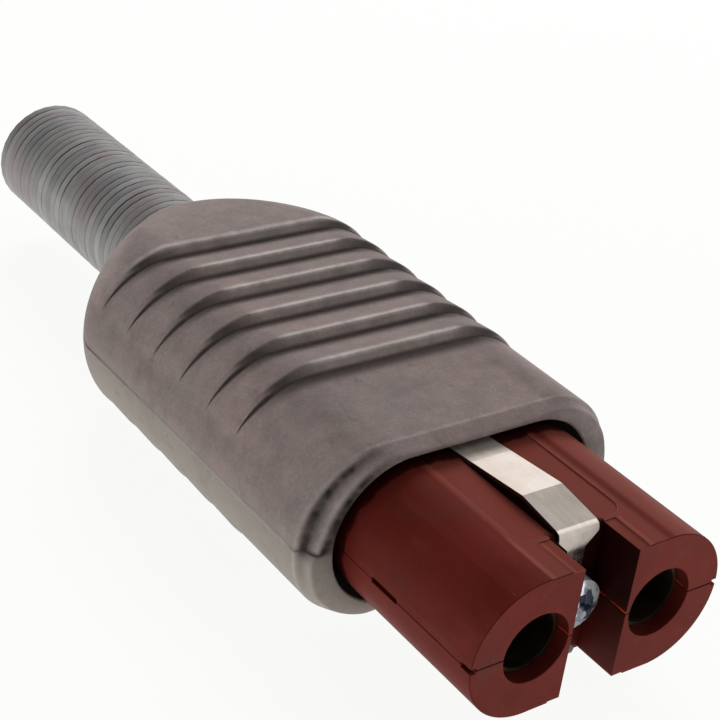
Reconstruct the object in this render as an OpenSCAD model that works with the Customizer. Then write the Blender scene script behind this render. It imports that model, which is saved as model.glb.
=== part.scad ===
// Two-pole heater plug: ribbed silicone sleeve, two-part socket block, earth springs and a wire cord guard.
// Millimetres. The sockets face -Y, the cord enters along the axis from +Y, and the ribbed underside
// stands on Z = 0. Lengths along the plug are counted from the sleeve's mouth.

/* [Socket block] */
// Distance between the two pin axes
pin_pitch = 19; // [18.5:0.5:22]
// Outer radius of each lobe around its pin axis
lobe_r = 9.5; // [9.2:0.1:11]
// How far the flat between the lobes lies below their crowns
flat_drop = 0.03; // [0.01:0.01:0.3]
// Reach of the lobes out of the sleeve's mouth
lobe_reach = 25.5; // [23:0.5:32]
// Length of the block inside the sleeve
block_inside = 40; // [39:0.5:46]
// Width of the gap between the lobes
gap_w = 8.2; // [7.6:0.1:9]
// Depth of the gap, from the block's face to the web
gap_depth = 6.4; // [5.5:0.1:8]
// Gap between the block's two halves along their parting
parting_gap = 0.1; // [0.05:0.01:0.3]
// Distance of the prising slot in each flank's parting from the sleeve's mouth
slot_start = 6.4; // [3:0.1:8]
// Length of the prising slot
slot_len = 5; // [3:0.1:7]
// Length of the notch at the front end of each flank's parting
notch_len = 1.8; // [1:0.1:4]
// Height and depth of the slot and the notch
slot_h = 0.7; // [0.3:0.1:1.2]
// Distance of the keeper ridge behind the sleeve's mouth
keeper_y = 12; // [9:0.5:16]
// Width of the keeper ridge round the block
keeper_w = 3; // [2:0.1:5]
// Height of the keeper ridge
keeper_h = 1.2; // [0.6:0.1:1.8]

/* [Spring recess in the block] */
// Width of the shallow recess round the earth spring
recess_w = 15.8; // [10:0.2:17]
// Depth of the shallow recess
relief_depth = 0.2; // [0.1:0.05:0.4]
// Depth of the strip's own seat below the strip's thickness
recess_spare = 0.05; // [0:0.01:0.3]
// Distance of the recess's front end behind the web's face
recess_inset = 0.6; // [0.4:0.1:3]
// Corner radius of the recess's front end
recess_corner = 2; // [0.5:0.1:3]
// Length of the recess behind the sleeve's mouth
recess_back = 8; // [6:0.5:10]
// Width of the ledge along each lobe's inner top edge
ledge_w = 1.8; // [1:0.1:2.5]
// Depth of that ledge
ledge_depth = 0.2; // [0.1:0.05:0.8]

/* [Contacts] */
// Bore of the contact tubes, for round pins of 8 mm
contact_bore = 8.2; // [7.6:0.1:8.4]
// Wall of the contact tubes
contact_wall = 0.5; // [0.4:0.05:0.6]
// How far the contacts sit behind the block's face
contact_recess = 2; // [1:0.1:4]
// Depth of the bore in each contact
contact_depth = 23.5; // [20:0.5:26]
// Length of the wire barrel behind the bore
barrel_len = 15.5; // [13:0.5:17]
// Wire hole in each terminal
wire_d = 4.2; // [3:0.1:5]
// Distance of the locating collar behind the block's face
collar_inset = 8.5; // [7:0.5:10]
// Width of the locating collar
collar_w = 2.4; // [1.5:0.1:3]
// Height of the locating collar
collar_h = 1; // [0.5:0.1:1.1]
// Thread diameter of the terminal screws
terminal_thread = 4; // [3:0.5:5]
// Head diameter of the terminal screws
terminal_head_d = 6.2; // [5.6:0.1:7]
// Head height of the terminal screws
terminal_head_h = 1.9; // [1.5:0.1:2.3]
// Screwdriver slot in the slotted screws' heads
driver_slot = 1; // [0.6:0.1:1.4]

/* [Earth contact] */
// Width of the earth spring's leaves
strip_w = 6.2; // [5:0.1:7]
// Thickness of the strip
strip_t = 0.5; // [0.3:0.05:0.6]
// Height of the leaf's crown over the block's flat
strip_rise = 1.4; // [0.8:0.1:2]
// Distance of the crown behind the block's face
strip_crown = 13.1; // [11:0.1:15]
// Distance of the leaf's foot bend in front of the sleeve's mouth
strip_foot = 2.8; // [2:0.1:4]
// Width of the tongue that runs down the web
tongue_w = 2.8; // [2.4:0.1:4.4]
// Height of the full-width tab between the leaf's bend and the tongue
tab_h = 0.9; // [0.8:0.1:2]
// Outer diameter of the eye under the screw's head
eye_d = 7.2; // [6.4:0.1:7.4]
// Thread diameter of the earth screw
earth_thread = 3.5; // [3:0.1:4]
// Length of the earth screw under its head
earth_screw_len = 15; // [12:0.5:16]
// Diameter of the earth screw's pan head
earth_head_d = 7; // [6:0.1:7.4]
// Height of the earth screw's pan head
earth_head_h = 2.7; // [2:0.1:3.2]
// Width of the earth terminal block
earth_block_w = 6.6; // [5.6:0.1:7]
// Height of the earth terminal block
earth_block_h = 9; // [7:0.2:9.2]
// Length of the earth terminal block
earth_block_len = 20; // [19:0.5:22]
// Thickness of the web in front of the earth terminal
web_t = 7.6; // [6.5:0.1:9]

/* [Joining screw and cord clamp] */
// Distance of the joining screw behind the sleeve's mouth
post_y = 23; // [22.5:0.1:23.5]
// Radius of the post round the joining screw
post_r = 5.2; // [4.8:0.1:5.4]
// Thread diameter of the joining screw
join_thread = 4; // [3:0.5:4]
// Head diameter of the joining screw
join_head_d = 7; // [6:0.1:7.4]
// Head height of the joining screw
join_head_h = 2.5; // [2:0.1:2.8]
// Width across flats of the joining nut
nut_af = 7; // [6:0.1:7.4]
// Height of the joining nut
nut_h = 3.2; // [2.4:0.1:3.4]
// Diameter of the cord that the clamp takes
cord_d = 9; // [7:0.1:9.4]
// Half distance between the clamp's two screws
clamp_x = 9.5; // [9:0.1:10]
// Width of the clamp along the cord
clamp_w = 6; // [5:0.1:6.4]
// Thickness of the clamp
clamp_t = 1.5; // [1:0.1:1.8]
// Thread diameter of the clamp screws
clamp_thread = 3; // [2.5:0.5:3.5]

/* [Sleeve] */
// Wall of the sleeve at its flanks
side_wall = 5.15; // [4:0.05:6.5]
// Wall of the sleeve over the block's flat, at the rib crests
top_wall = 3.88; // [3.4:0.02:5]
// Clear space round the block inside the sleeve
sleeve_fit = 0.25; // [0.1:0.05:0.5]
// Clear space round the block at the mouth
mouth_gap = 1; // [0.5:0.1:1.6]
// Depth of the wide mouth
mouth_depth = 3.5; // [2:0.1:5]
// Length of the bevelled rim at the mouth, with a channel in its flanks
lip_len = 2.4; // [1.6:0.1:4]
// Number of grip ribs above, and below
rib_count = 6; // [3:1:6]
// Distance between rib crests
rib_pitch = 7.1; // [6.6:0.1:8]
// Distance of the first rib crest from the mouth
rib_start = 19.8; // [18:0.1:24]
// Depth of the grooves between the ribs
groove_depth = 1.5; // [0.6:0.1:1.7]
// Length of the steep face in front of each crest
rib_step = 0.8; // [0.4:0.1:1.4]
// Height over the mid-plane at which the grooves run out on the flanks
groove_end = 6; // [4:0.2:8]
// Length of the rounded shoulder behind the last rib
shoulder_len = 17.3; // [15:0.1:22]
// Length of the neck bore that holds the spring
neck_len = 11; // [9:0.1:12]
// Wall of the neck at its rear lip
neck_lip = 1.2; // [0.8:0.1:2]
// Clear space between the neck and the spring
neck_fit = 0.2; // [0.1:0.05:0.4]

/* [Cord guard spring] */
// Outer diameter of the spring
spring_d = 18.2; // [16:0.1:20]
// Diameter of its wire
wire = 1.5; // [1.3:0.1:1.8]
// Gap between neighbouring turns
turn_gap = 0.05; // [0.03:0.01:0.2]
// Reach of the spring out of the neck
spring_out = 45.6; // [30:0.1:60]
// Extra radius of the two turns that hold the spring inside the neck
flare = 1.2; // [0.8:0.1:1.6]

/* [Hidden] */
$fn = 64;

// Clearances: between faces that seat, round inserted metal, and in threads
seat = 0.02;
insert_fit = 0.15;
thread_fit = 0.05;
// Overshoot of every cut past the surface that it opens
over = 1;
tiny = 0.0001;

// Block: main levels
face_y = -lobe_reach;
web_y = face_y + gap_depth;
flat_z = lobe_r - flat_drop;
block_half_w = pin_pitch / 2 + lobe_r;
contact_d = contact_bore + 2 * contact_wall;
seat_d = contact_d + 2 * insert_fit;
contact_y = face_y + contact_recess;
barrel_y = contact_y + contact_depth;
barrel_end = barrel_y + barrel_len;
chamber_wall = 4;
chamber_end = block_inside - chamber_wall;
clamp_foot_r = 2.6;
chamber_half_w = max(clamp_x + clamp_foot_r, (pin_pitch + terminal_head_d) / 2) + insert_fit;
chamber_z = contact_d / 2 + terminal_head_h + 0.4;
terminal_y = barrel_end - terminal_head_d / 2 - 2;

// Earth parts: main levels
recess_depth = strip_t + recess_spare;
recess_z = flat_z - recess_depth;
eye_y = web_y - seat - strip_t;
earth_block_y = web_y + web_t;
earth_block_end = earth_block_y + earth_block_len;
earth_thread_depth = 8;
earth_terminal_y = earth_block_end - terminal_head_d / 2 - 0.4;
chamber_y = min(barrel_y + 1, earth_terminal_y - terminal_head_d / 2 - insert_fit);

// Joining screw and clamp: main levels
join_seat_z = flat_z - join_head_h - 0.3;
nut_seat_z = -flat_z + nut_h + 0.1;
clamp_y = chamber_end - clamp_w / 2 - 1;
clamp_z = -1;
clamp_head_h = 1.8;
clamp_screw_len = 4.5;
cord_r = cord_d / 2;

// Sleeve: outline of the crests, of the valleys and of the cavity
half_w = block_half_w + sleeve_fit + side_wall;
half_h = flat_z + sleeve_fit + top_wall;
corner = 0.2;
crest_r = half_h + corner;
crest_c = half_w - crest_r;
groove_x = crest_c + sqrt(pow(crest_r, 2) - pow(groove_end, 2));
valley_h = half_h - groove_depth;
valley_r = valley_h + corner;
valley_c = groove_x - sqrt(pow(valley_r, 2) - pow(groove_end, 2));
last_crest = rib_start + (rib_count - 1) * rib_pitch;
sleeve_len = last_crest + shoulder_len;
spring_r = spring_d / 2;
neck_bore = spring_r + neck_fit;
neck_r = neck_bore + neck_lip;
flare_bore = spring_r + flare + neck_fit;
neck_step = sleeve_len - neck_len;
rim_wall = valley_h - flat_z - mouth_gap;
lip_drop = 0.25 * rim_wall;
lip_edge = 0.45 * rim_wall;
mouth_edge = 0.18 * rim_wall;
ring_n = 56;
shoulder_rings = 8;

// Spring: centre line
turn = wire + turn_gap;
flare_turns = 2;
spring_start = neck_step - seat - wire / 2 - flare_turns * turn;
spring_end = sleeve_len + spring_out;
spring_turns = (spring_end - wire / 2 - spring_start) / turn;
coil_r = spring_r - wire / 2;
wire_end = -45;
turn_steps = 18;
wire_sides = 6;

// Places the plug's axis over the ground, with the middle of its length at Y = 0
mid_y = (spring_end + face_y) / 2;
module placed() {
    translate([0, -mid_y, half_h]) children();
}

// Extrudes a flat outline (X across, Y up) along the plug from one place to another
module along_y(from, to) {
    translate([0, to, 0]) rotate([90, 0, 0]) linear_extrude(to - from) children();
}

// A round bar or cut along the plug
module bar_y(d, from, to) {
    along_y(from, to) circle(d = d);
}

// A box centred on the plug's axis in X
module box(width, from, to, low, high) {
    translate([-width / 2, from, low]) cube([width, to - from, high - low]);
}

// Closed skin through a list of rings of points: a loop of rings, or a run with flat ends
module skin(rings, loop) {
    n = len(rings[0]);
    count = len(rings);
    last = loop ? count - 1 : count - 2;
    sides = [
        for (k = [0:last], i = [0:n - 1], half = [0, 1])
            let (a = k * n, b = ((k + 1) % count) * n, j = (i + 1) % n)
                half == 0 ? [a + i, a + j, b + j] : [a + i, b + j, b + i]
    ];
    ends = loop ? [] : [[for (i = [n - 1:-1:0]) i], [for (i = [0:n - 1]) (count - 1) * n + i]];
    polyhedron([for (ring = rings, p = ring) p], concat(sides, ends));
}

// Distance from the axis to a round-ended, flat-topped outline, in the direction of an angle
function flat_round(centre, radius, flat, angle) =
    let (s = max(abs(sin(angle)), tiny), c = abs(cos(angle)), level = flat / s)
        level * c <= centre ? level
            : min(level, centre * c + sqrt(max(0, pow(radius, 2) - pow(centre * s, 2))));

// Direction of the i-th point of a ring
function ring_angle(i) = -360 * i / ring_n;

// A ring of points across the plug, at a given distance from the axis in each direction
function ring_at(y, reach) =
    [for (i = [0:ring_n - 1]) [reach[i] * cos(ring_angle(i)), y, reach[i] * sin(ring_angle(i))]];

function outline(centre, radius, flat) =
    [for (i = [0:ring_n - 1]) flat_round(centre, radius, flat, ring_angle(i))];
function round_outline(radius) = [for (i = [0:ring_n - 1]) radius];
function inset(reach, by) = [for (d = reach) d - by];
function least(a, b) = [for (i = [0:ring_n - 1]) min(a[i], b[i])];

crest_line = outline(crest_c, crest_r, half_h);
valley_line = least(crest_line, outline(valley_c, valley_r, valley_h));
function block_line(grow) = outline(pin_pitch / 2, lobe_r + grow, flat_z + grow);

// Outline of the rim: set in by one depth above and below, and by another on the flanks, where the grooves end
function flank_share(i) = max(0, 1 - (crest_line[i] - valley_line[i]) / groove_depth);
function rim_line(above, beside) =
    [for (i = [0:ring_n - 1]) valley_line[i] - above - (beside - above) * flank_share(i)];

// Outline of the shoulder, from the last crest (0) to the neck's lip (1)
function shoulder_line(s) =
    let (w = neck_r + (half_w - neck_r) * pow(1 - pow(s, 1.6), 0.9),
         h = neck_r + (half_h - neck_r) * pow(1 - pow(s, 3), 0.85),
         r = min(h + corner * (1 - s), w))
        outline(w - r, r, h);

// Outer skin of the sleeve, from the mouth to the neck
sleeve_outside = concat(
    [ring_at(0, inset(valley_line, lip_drop + lip_edge)),
     ring_at(0.3 * lip_edge, rim_line(lip_drop + 0.6 * lip_edge, lip_drop + 0.3 * lip_edge)),
     ring_at(lip_edge, rim_line(lip_drop + 0.2 * lip_edge, lip_drop)),
     ring_at(0.6 * lip_len, rim_line(0.7 * lip_drop, lip_drop)),
     ring_at(0.8 * lip_len, rim_line(0.35 * lip_drop, 2.4 * lip_drop)),
     ring_at(lip_len, valley_line)],
    [for (k = [0:rib_count - 1], part = [0, 1])
        let (y = rib_start + k * rib_pitch)
            part == 0 ? ring_at(y - rib_step, valley_line) : ring_at(y, crest_line)],
    [for (k = [1:shoulder_rings])
        let (s = k / shoulder_rings)
            ring_at(last_crest + s * shoulder_len, shoulder_line(s))]
);

// Inner skin of the sleeve, from the neck to the mouth
fit_line = block_line(sleeve_fit);
keeper_line = block_line(keeper_h + sleeve_fit);
mouth_line = block_line(mouth_gap);
sleeve_inside = [
    ring_at(sleeve_len, round_outline(neck_bore)),
    ring_at(neck_step, round_outline(neck_bore)),
    ring_at(neck_step, round_outline(flare_bore)),
    ring_at(spring_start - wire, round_outline(flare_bore)),
    ring_at(block_inside + seat, fit_line),
    ring_at(keeper_y + keeper_w + sleeve_fit, fit_line),
    ring_at(keeper_y + keeper_w + sleeve_fit, keeper_line),
    ring_at(keeper_y - sleeve_fit, keeper_line),
    ring_at(keeper_y - sleeve_fit, fit_line),
    ring_at(mouth_depth + mouth_gap, fit_line),
    ring_at(mouth_depth, mouth_line),
    ring_at(mouth_edge, mouth_line),
    ring_at(0, inset(mouth_line, -mouth_edge))
];

module grip_sleeve() {
    color("dimgray") placed() skin(concat(sleeve_outside, sleeve_inside), true);
}

// Radius of the spring's centre line after a number of turns: wide, then drawn in to the neck
function coil_radius(t) = coil_r + flare * min(1, max(0, flare_turns - 0.5 - t) / 0.5);

// One ring of the wire's section, after a number of turns
function wire_ring(t) =
    let (r = coil_radius(t), y = spring_start + t * turn, to = 360 * (t - spring_turns) + wire_end)
        [for (i = [0:wire_sides - 1])
            let (a = 360 * i / wire_sides + 90, d = r + wire / 2 * cos(a))
                [d * cos(to), y + wire / 2 * sin(a), d * sin(to)]];

module cable_spring() {
    steps = round(spring_turns * turn_steps);
    color("lightslategray") placed()
        skin([for (k = [0:steps]) wire_ring(k * spring_turns / steps)], false);
}

// Section of the socket block: two round lobes with a flat between them
module block_section(grow) {
    for (side = [-1, 1]) translate([side * pin_pitch / 2, 0]) circle(r = lobe_r + grow, $fn = 96);
    square([pin_pitch, 2 * (flat_z + grow)], center = true);
}

// Shallow recess round one leaf of the earth spring, with rounded front corners, and the strip's own seat in it
module spring_recess() {
    front = web_y + recess_inset;
    translate([0, 0, flat_z - relief_depth]) linear_extrude(relief_depth + over) {
        translate([-recess_w / 2, front + recess_corner])
            square([recess_w, recess_back - front - recess_corner]);
        translate([-recess_w / 2 + recess_corner, front])
            square([recess_w - 2 * recess_corner, 2 * recess_corner]);
        for (side = [-1, 1])
            translate([side * (recess_w / 2 - recess_corner), front + recess_corner]) circle(r = recess_corner);
    }
    box(strip_w + 2 * insert_fit, web_y - over, recess_back, recess_z, flat_z + over);
}

// Ledges along the lobes' inner top edges, beside the gap
module gap_ledges() {
    box(gap_w + 2 * ledge_w, face_y - over, web_y, flat_z - ledge_depth, flat_z + over);
}

// All the room that is cut out of both halves of the block
module block_hollows() {
    box(gap_w, face_y - over, web_y, -flat_z - over, flat_z + over);
    for (level = [0, 1]) mirror([0, 0, level]) {
        spring_recess();
        gap_ledges();
    }
    for (side = [-1, 1]) translate([side * pin_pitch / 2, 0, 0]) {
        bar_y(seat_d, face_y - over, barrel_end + over);
        bar_y(seat_d + 2 * collar_h, face_y + collar_inset - insert_fit,
            face_y + collar_inset + collar_w + insert_fit);
    }
    bar_y(earth_thread + 2 * insert_fit, web_y - over, earth_block_y);
    box(earth_block_w + 2 * insert_fit, earth_block_y - insert_fit, chamber_y + over,
        -earth_block_h / 2 - insert_fit, earth_block_h / 2 + insert_fit);
    box(2 * chamber_half_w, chamber_y, chamber_end, -chamber_z, chamber_z);
    bar_y(cord_d + 2 * insert_fit, chamber_end - over, block_inside + over);
    for (side = [-1, 1]) translate([side * block_half_w, 0, 0]) {
        box(2 * slot_h, -slot_start - slot_len, -slot_start, -slot_h / 2, slot_h / 2);
        box(2 * slot_h, face_y - over, face_y + notch_len, -slot_h / 2, slot_h / 2);
    }
}

// Hole for the joining screw, with its head's and its nut's seats
module joining_hole() {
    translate([0, post_y, 0]) {
        cylinder(d = join_thread + 2 * insert_fit, h = 2 * (lobe_r + over), center = true);
        translate([0, 0, join_seat_z]) cylinder(d = join_head_d + 2 * insert_fit, h = lobe_r);
        translate([0, 0, nut_seat_z - lobe_r]) hexagon(nut_af + 2 * insert_fit, lobe_r);
    }
}

// A hexagonal prism by its width across flats
module hexagon(flats, height) {
    cylinder(d = flats / cos(30), h = height, $fn = 6);
}

// The block before it is parted
module whole_block() {
    difference() {
        union() {
            along_y(face_y, block_inside) block_section(0);
            along_y(keeper_y, keeper_y + keeper_w) block_section(keeper_h);
        }
        block_hollows();
    }
    translate([0, post_y, -chamber_z - over]) cylinder(r = post_r, h = 2 * (chamber_z + over));
}

// One half of the block, on its own side of the parting
module block_half(side) {
    intersection() {
        difference() {
            whole_block();
            joining_hole();
        }
        mirror([0, 0, side < 0 ? 1 : 0])
            box(4 * block_half_w, face_y - over, block_inside + over, parting_gap / 2, 2 * lobe_r);
    }
}

module upper_insulator() {
    color("saddlebrown") placed() block_half(1);
}

// The lower half also carries the cord clamp's two posts
module lower_insulator() {
    color("saddlebrown") placed() {
        block_half(-1);
        for (side = [-1, 1]) translate([side * clamp_x, clamp_y, 0]) clamp_post();
    }
}

module clamp_post() {
    difference() {
        translate([0, 0, -chamber_z - over])
            cylinder(r = clamp_foot_r, h = clamp_z - seat + chamber_z + over);
        translate([0, 0, clamp_z - clamp_screw_len - thread_fit])
            cylinder(d = clamp_thread + 2 * thread_fit, h = clamp_screw_len + over);
    }
}

// A contact: pin tube, locating collar and wire barrel
module contact() {
    difference() {
        union() {
            bar_y(contact_d, contact_y, barrel_end);
            bar_y(contact_d + 2 * collar_h, face_y + collar_inset, face_y + collar_inset + collar_w);
        }
        bar_y(contact_bore, contact_y - over, barrel_y);
        bar_y(wire_d, barrel_y + 3, barrel_end + over);
        translate([0, terminal_y, 0]) cylinder(d = terminal_thread + 2 * thread_fit, h = contact_d);
    }
}

module left_contact() {
    color("silver") placed() translate([-pin_pitch / 2, 0, 0]) contact();
}

module right_contact() {
    color("silver") placed() translate([pin_pitch / 2, 0, 0]) contact();
}

// A slotted cheese-head screw standing on Z = 0, with its thread below
module slotted_screw(thread_d, length, head_d, head_h) {
    difference() {
        union() {
            translate([0, 0, -length]) cylinder(d = thread_d, h = length + head_h / 2);
            cylinder(d = head_d, h = head_h);
        }
        translate([0, 0, head_h]) cube([head_d + over, driver_slot, head_h], center = true);
    }
}

// Terminal screw of a contact, with its tip in the wire hole
module terminal_screw() {
    translate([0, terminal_y, contact_d / 2 + seat])
        slotted_screw(terminal_thread, contact_d / 2, terminal_head_d, terminal_head_h);
}

module left_terminal_screw() {
    color("gold") placed() translate([-pin_pitch / 2, 0, 0]) terminal_screw();
}

module right_terminal_screw() {
    color("gold") placed() translate([pin_pitch / 2, 0, 0]) terminal_screw();
}

// Middle line of the earth spring's upper leaf and of its bend down to the eye: Y along the plug, Z up
leaf_foot = recess_z + strip_t / 2 + seat;
leaf_top = flat_z + strip_t / 4;
crown_at = [face_y + strip_crown, flat_z + strip_rise - strip_t / 2];
bend_at = [eye_y + strip_t / 2, leaf_top];
bend_len = 1.2 * strip_t;
bend_in = bend_at + bend_len * (crown_at - bend_at) / norm(crown_at - bend_at);
bend_out = bend_at - [0, bend_len];
leaf_line = [
    [recess_back - 1, leaf_foot],
    [1, leaf_foot],
    [-strip_foot, leaf_top],
    crown_at,
    bend_in,
    (bend_in + 2 * bend_at + bend_out) / 4,
    bend_out
];

// The whole strip's middle line: the upper leaf, then the lower one in a mirror
strip_line = concat(leaf_line, [for (k = [len(leaf_line) - 1:-1:0]) [leaf_line[k][0], -leaf_line[k][1]]]);

// Direction across a line at its k-th point, long enough to keep the thickness through a bend
function across(from, to) = [from[1] - to[1], to[0] - from[0]] / norm(to - from);
function mitre(line, k) =
    let (last = len(line) - 1,
         before = k == 0 ? across(line[0], line[1]) : across(line[k - 1], line[k]),
         after = k == last ? before : across(line[k], line[k + 1]))
        (before + after) / (1 + before * after);

// Side view of a bent strip of even thickness
module bent_strip(line, thickness) {
    last = len(line) - 1;
    polygon(concat(
        [for (k = [0:last]) line[k] + thickness / 2 * mitre(line, k)],
        [for (k = [last:-1:0]) line[k] - thickness / 2 * mitre(line, k)]
    ));
}

// Front view of the strip: full width at the leaves, narrow beside the eye
module strip_outline() {
    shoulder = strip_w / 2 - tongue_w / 2;
    corner_points = [
        [tongue_w / 2, leaf_top - tab_h - shoulder],
        [strip_w / 2, leaf_top - tab_h],
        [strip_w / 2, crown_at[1] + over]
    ];
    difference() {
        union() {
            circle(d = eye_d);
            polygon(concat(
                corner_points,
                [for (k = [2:-1:0]) [-corner_points[k][0], corner_points[k][1]]],
                [for (p = corner_points) -p],
                [for (k = [2:-1:0]) [corner_points[k][0], -corner_points[k][1]]]
            ));
        }
        circle(d = earth_thread + 2 * insert_fit);
    }
}

module earth_spring() {
    wide = max(eye_d, strip_w) + 2 * over;
    color("gainsboro") placed() intersection() {
        translate([-wide / 2, 0, 0]) rotate([90, 0, 90]) linear_extrude(wide) bent_strip(strip_line, strip_t);
        along_y(eye_y - over, recess_back + over) strip_outline();
    }
}

// Pan head with a cross recess, facing the front
module pan_head() {
    dome_r = (pow(earth_head_d / 2, 2) + pow(earth_head_h, 2)) / earth_head_h;
    difference() {
        intersection() {
            cylinder(d = earth_head_d, h = earth_head_h);
            translate([0, 0, earth_head_h - dome_r]) sphere(r = dome_r);
        }
        for (turn_to = [0, 90]) rotate(turn_to)
            translate([0, 0, earth_head_h])
                cube([0.55 * earth_head_d, driver_slot, 1.2 * earth_head_h], center = true);
    }
}

module earth_screw() {
    color("lightsteelblue") placed() translate([0, eye_y - seat, 0]) rotate([90, 0, 0]) {
        pan_head();
        translate([0, 0, -earth_screw_len]) cylinder(d = earth_thread, h = earth_screw_len + earth_head_h / 8);
    }
}

module earth_terminal() {
    color("gold") placed() difference() {
        box(earth_block_w, earth_block_y, earth_block_end, -earth_block_h / 2, earth_block_h / 2);
        bar_y(earth_thread + 2 * thread_fit, earth_block_y - over, earth_block_y + earth_thread_depth);
        bar_y(wire_d, earth_block_y + earth_thread_depth + 2, earth_block_end + over);
        translate([0, earth_terminal_y, 0])
            cylinder(d = terminal_thread + 2 * thread_fit, h = earth_block_h);
    }
}

module earth_terminal_screw() {
    color("silver") placed() translate([0, earth_terminal_y, earth_block_h / 2 + seat])
        slotted_screw(terminal_thread, earth_block_h / 2, terminal_head_d, terminal_head_h);
}

module joining_screw() {
    color("silver") placed() translate([0, post_y, join_seat_z + seat])
        slotted_screw(join_thread, join_seat_z + flat_z - 0.3, join_head_d, join_head_h);
}

module joining_nut() {
    color("silver") placed() translate([0, post_y, nut_seat_z - nut_h - seat]) difference() {
        hexagon(nut_af, nut_h);
        translate([0, 0, -over]) cylinder(d = join_thread + 2 * thread_fit, h = nut_h + 2 * over);
    }
}

// Saddle over the cord, on the lower half's two posts
module cord_clamp() {
    arch_r = cord_r + insert_fit;
    foot = clamp_x + clamp_foot_r;
    color("silver") placed() difference() {
        translate([0, 0, clamp_z]) along_y(clamp_y - clamp_w / 2, clamp_y + clamp_w / 2) difference() {
            union() {
                circle(r = arch_r + clamp_t);
                translate([-foot, 0]) square([2 * foot, clamp_t]);
            }
            circle(r = arch_r);
            translate([-foot, -2 * foot]) square([2 * foot, 2 * foot]);
        }
        for (side = [-1, 1]) translate([side * clamp_x, clamp_y, clamp_z - over])
            cylinder(d = clamp_thread + 2 * insert_fit, h = clamp_t + 2 * over);
    }
}

module clamp_screws() {
    color("silver") placed() for (side = [-1, 1])
        translate([side * clamp_x, clamp_y, clamp_z + clamp_t + seat])
            slotted_screw(clamp_thread, clamp_screw_len + clamp_t, clamp_thread + 2, clamp_head_h);
}

grip_sleeve();
cable_spring();
upper_insulator();
lower_insulator();
left_contact();
right_contact();
left_terminal_screw();
right_terminal_screw();
earth_spring();
earth_screw();
earth_terminal();
earth_terminal_screw();
joining_screw();
joining_nut();
cord_clamp();
clamp_screws();
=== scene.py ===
"""Looks of the heater plug: silicone sleeve, wire cord guard, socket block and its metal parts."""

import logging
import math
from dataclasses import dataclass
from enum import Enum
from functools import reduce
from typing import NamedTuple

import bmesh
import bpy
import numpy as np
from mathutils import Matrix, Vector


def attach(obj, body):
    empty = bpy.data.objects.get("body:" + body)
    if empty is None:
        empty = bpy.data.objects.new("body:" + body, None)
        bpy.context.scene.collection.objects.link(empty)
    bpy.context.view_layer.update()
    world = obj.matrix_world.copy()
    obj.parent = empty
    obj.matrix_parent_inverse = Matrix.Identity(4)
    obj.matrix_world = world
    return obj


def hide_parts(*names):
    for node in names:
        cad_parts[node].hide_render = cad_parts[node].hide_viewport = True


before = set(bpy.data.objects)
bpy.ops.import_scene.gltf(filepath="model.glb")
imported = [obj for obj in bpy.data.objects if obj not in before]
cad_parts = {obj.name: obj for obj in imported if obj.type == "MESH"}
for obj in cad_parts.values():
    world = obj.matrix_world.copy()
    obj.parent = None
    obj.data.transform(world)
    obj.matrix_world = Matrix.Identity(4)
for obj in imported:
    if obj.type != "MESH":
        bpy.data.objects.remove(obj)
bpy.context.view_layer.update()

LOG = logging.getLogger("heater_plug")
MM = 0.001
BODY = "root"

Colour = tuple[float, float, float, float]
Span = tuple[float, float, float, float]
Pair = tuple[float, float]


class Slot(Enum):
    """The record's material slot names for this script's own pieces; nothing in the script uses them."""

    SLEEVE = "sleeve_silicone"
    SPRING = "spring_steel"
    BLOCK = "insulator_red"


@dataclass(frozen=True)
class Placing:
    """Where the plug's own axis lies in the row frame, in millimetres."""

    mid_y: float = 46.35
    axis_height: float = 13.6

    def point(self, x: float, y: float, z: float) -> Vector:
        """A point of the plug, counted from the sleeve's mouth, in row metres."""
        return Vector((x, y - self.mid_y, z + self.axis_height)) * MM

    def plug(self, spot: Vector) -> Vector:
        """A point in row metres, as a point of the plug in millimetres."""
        return spot / MM + Vector((0.0, self.mid_y, -self.axis_height))

    def points(self, plug: np.ndarray) -> np.ndarray:
        """Rows of plug points in millimetres, as rows of row-frame metres."""
        return (plug + np.array([0.0, -self.mid_y, self.axis_height])) * MM


PLACING = Placing()


class Flow:
    """An output in a node tree, with plain arithmetic that adds the nodes for it."""

    def __init__(self, sheet: "Sheet", socket: bpy.types.NodeSocket) -> None:
        """Keeps the output and the sheet that its nodes are added to."""
        self.sheet = sheet
        self.socket = socket

    def __add__(self, other: "Flow | float") -> "Flow":
        """The sum."""
        return self.sheet.math("ADD", self, other)

    def __sub__(self, other: "Flow | float") -> "Flow":
        """The difference."""
        return self.sheet.math("SUBTRACT", self, other)

    def __rsub__(self, other: float) -> "Flow":
        """The difference from a number."""
        return self.sheet.math("SUBTRACT", other, self)

    def __mul__(self, other: "Flow | float") -> "Flow":
        """The product."""
        return self.sheet.math("MULTIPLY", self, other)

    def __truediv__(self, other: "Flow | float") -> "Flow":
        """The quotient."""
        return self.sheet.math("DIVIDE", self, other)

    def __neg__(self) -> "Flow":
        """The value with its sign turned."""
        return self.sheet.math("MULTIPLY", self, -1.0)

    def __abs__(self) -> "Flow":
        """The value without its sign."""
        return self.sheet.math("ABSOLUTE", self)

    def __gt__(self, other: "Flow | float") -> "Flow":
        """1 where the value is greater, else 0."""
        return self.sheet.math("GREATER_THAN", self, other)

    def __lt__(self, other: "Flow | float") -> "Flow":
        """1 where the value is less, else 0."""
        return self.sheet.math("LESS_THAN", self, other)


Number = Flow | float


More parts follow.
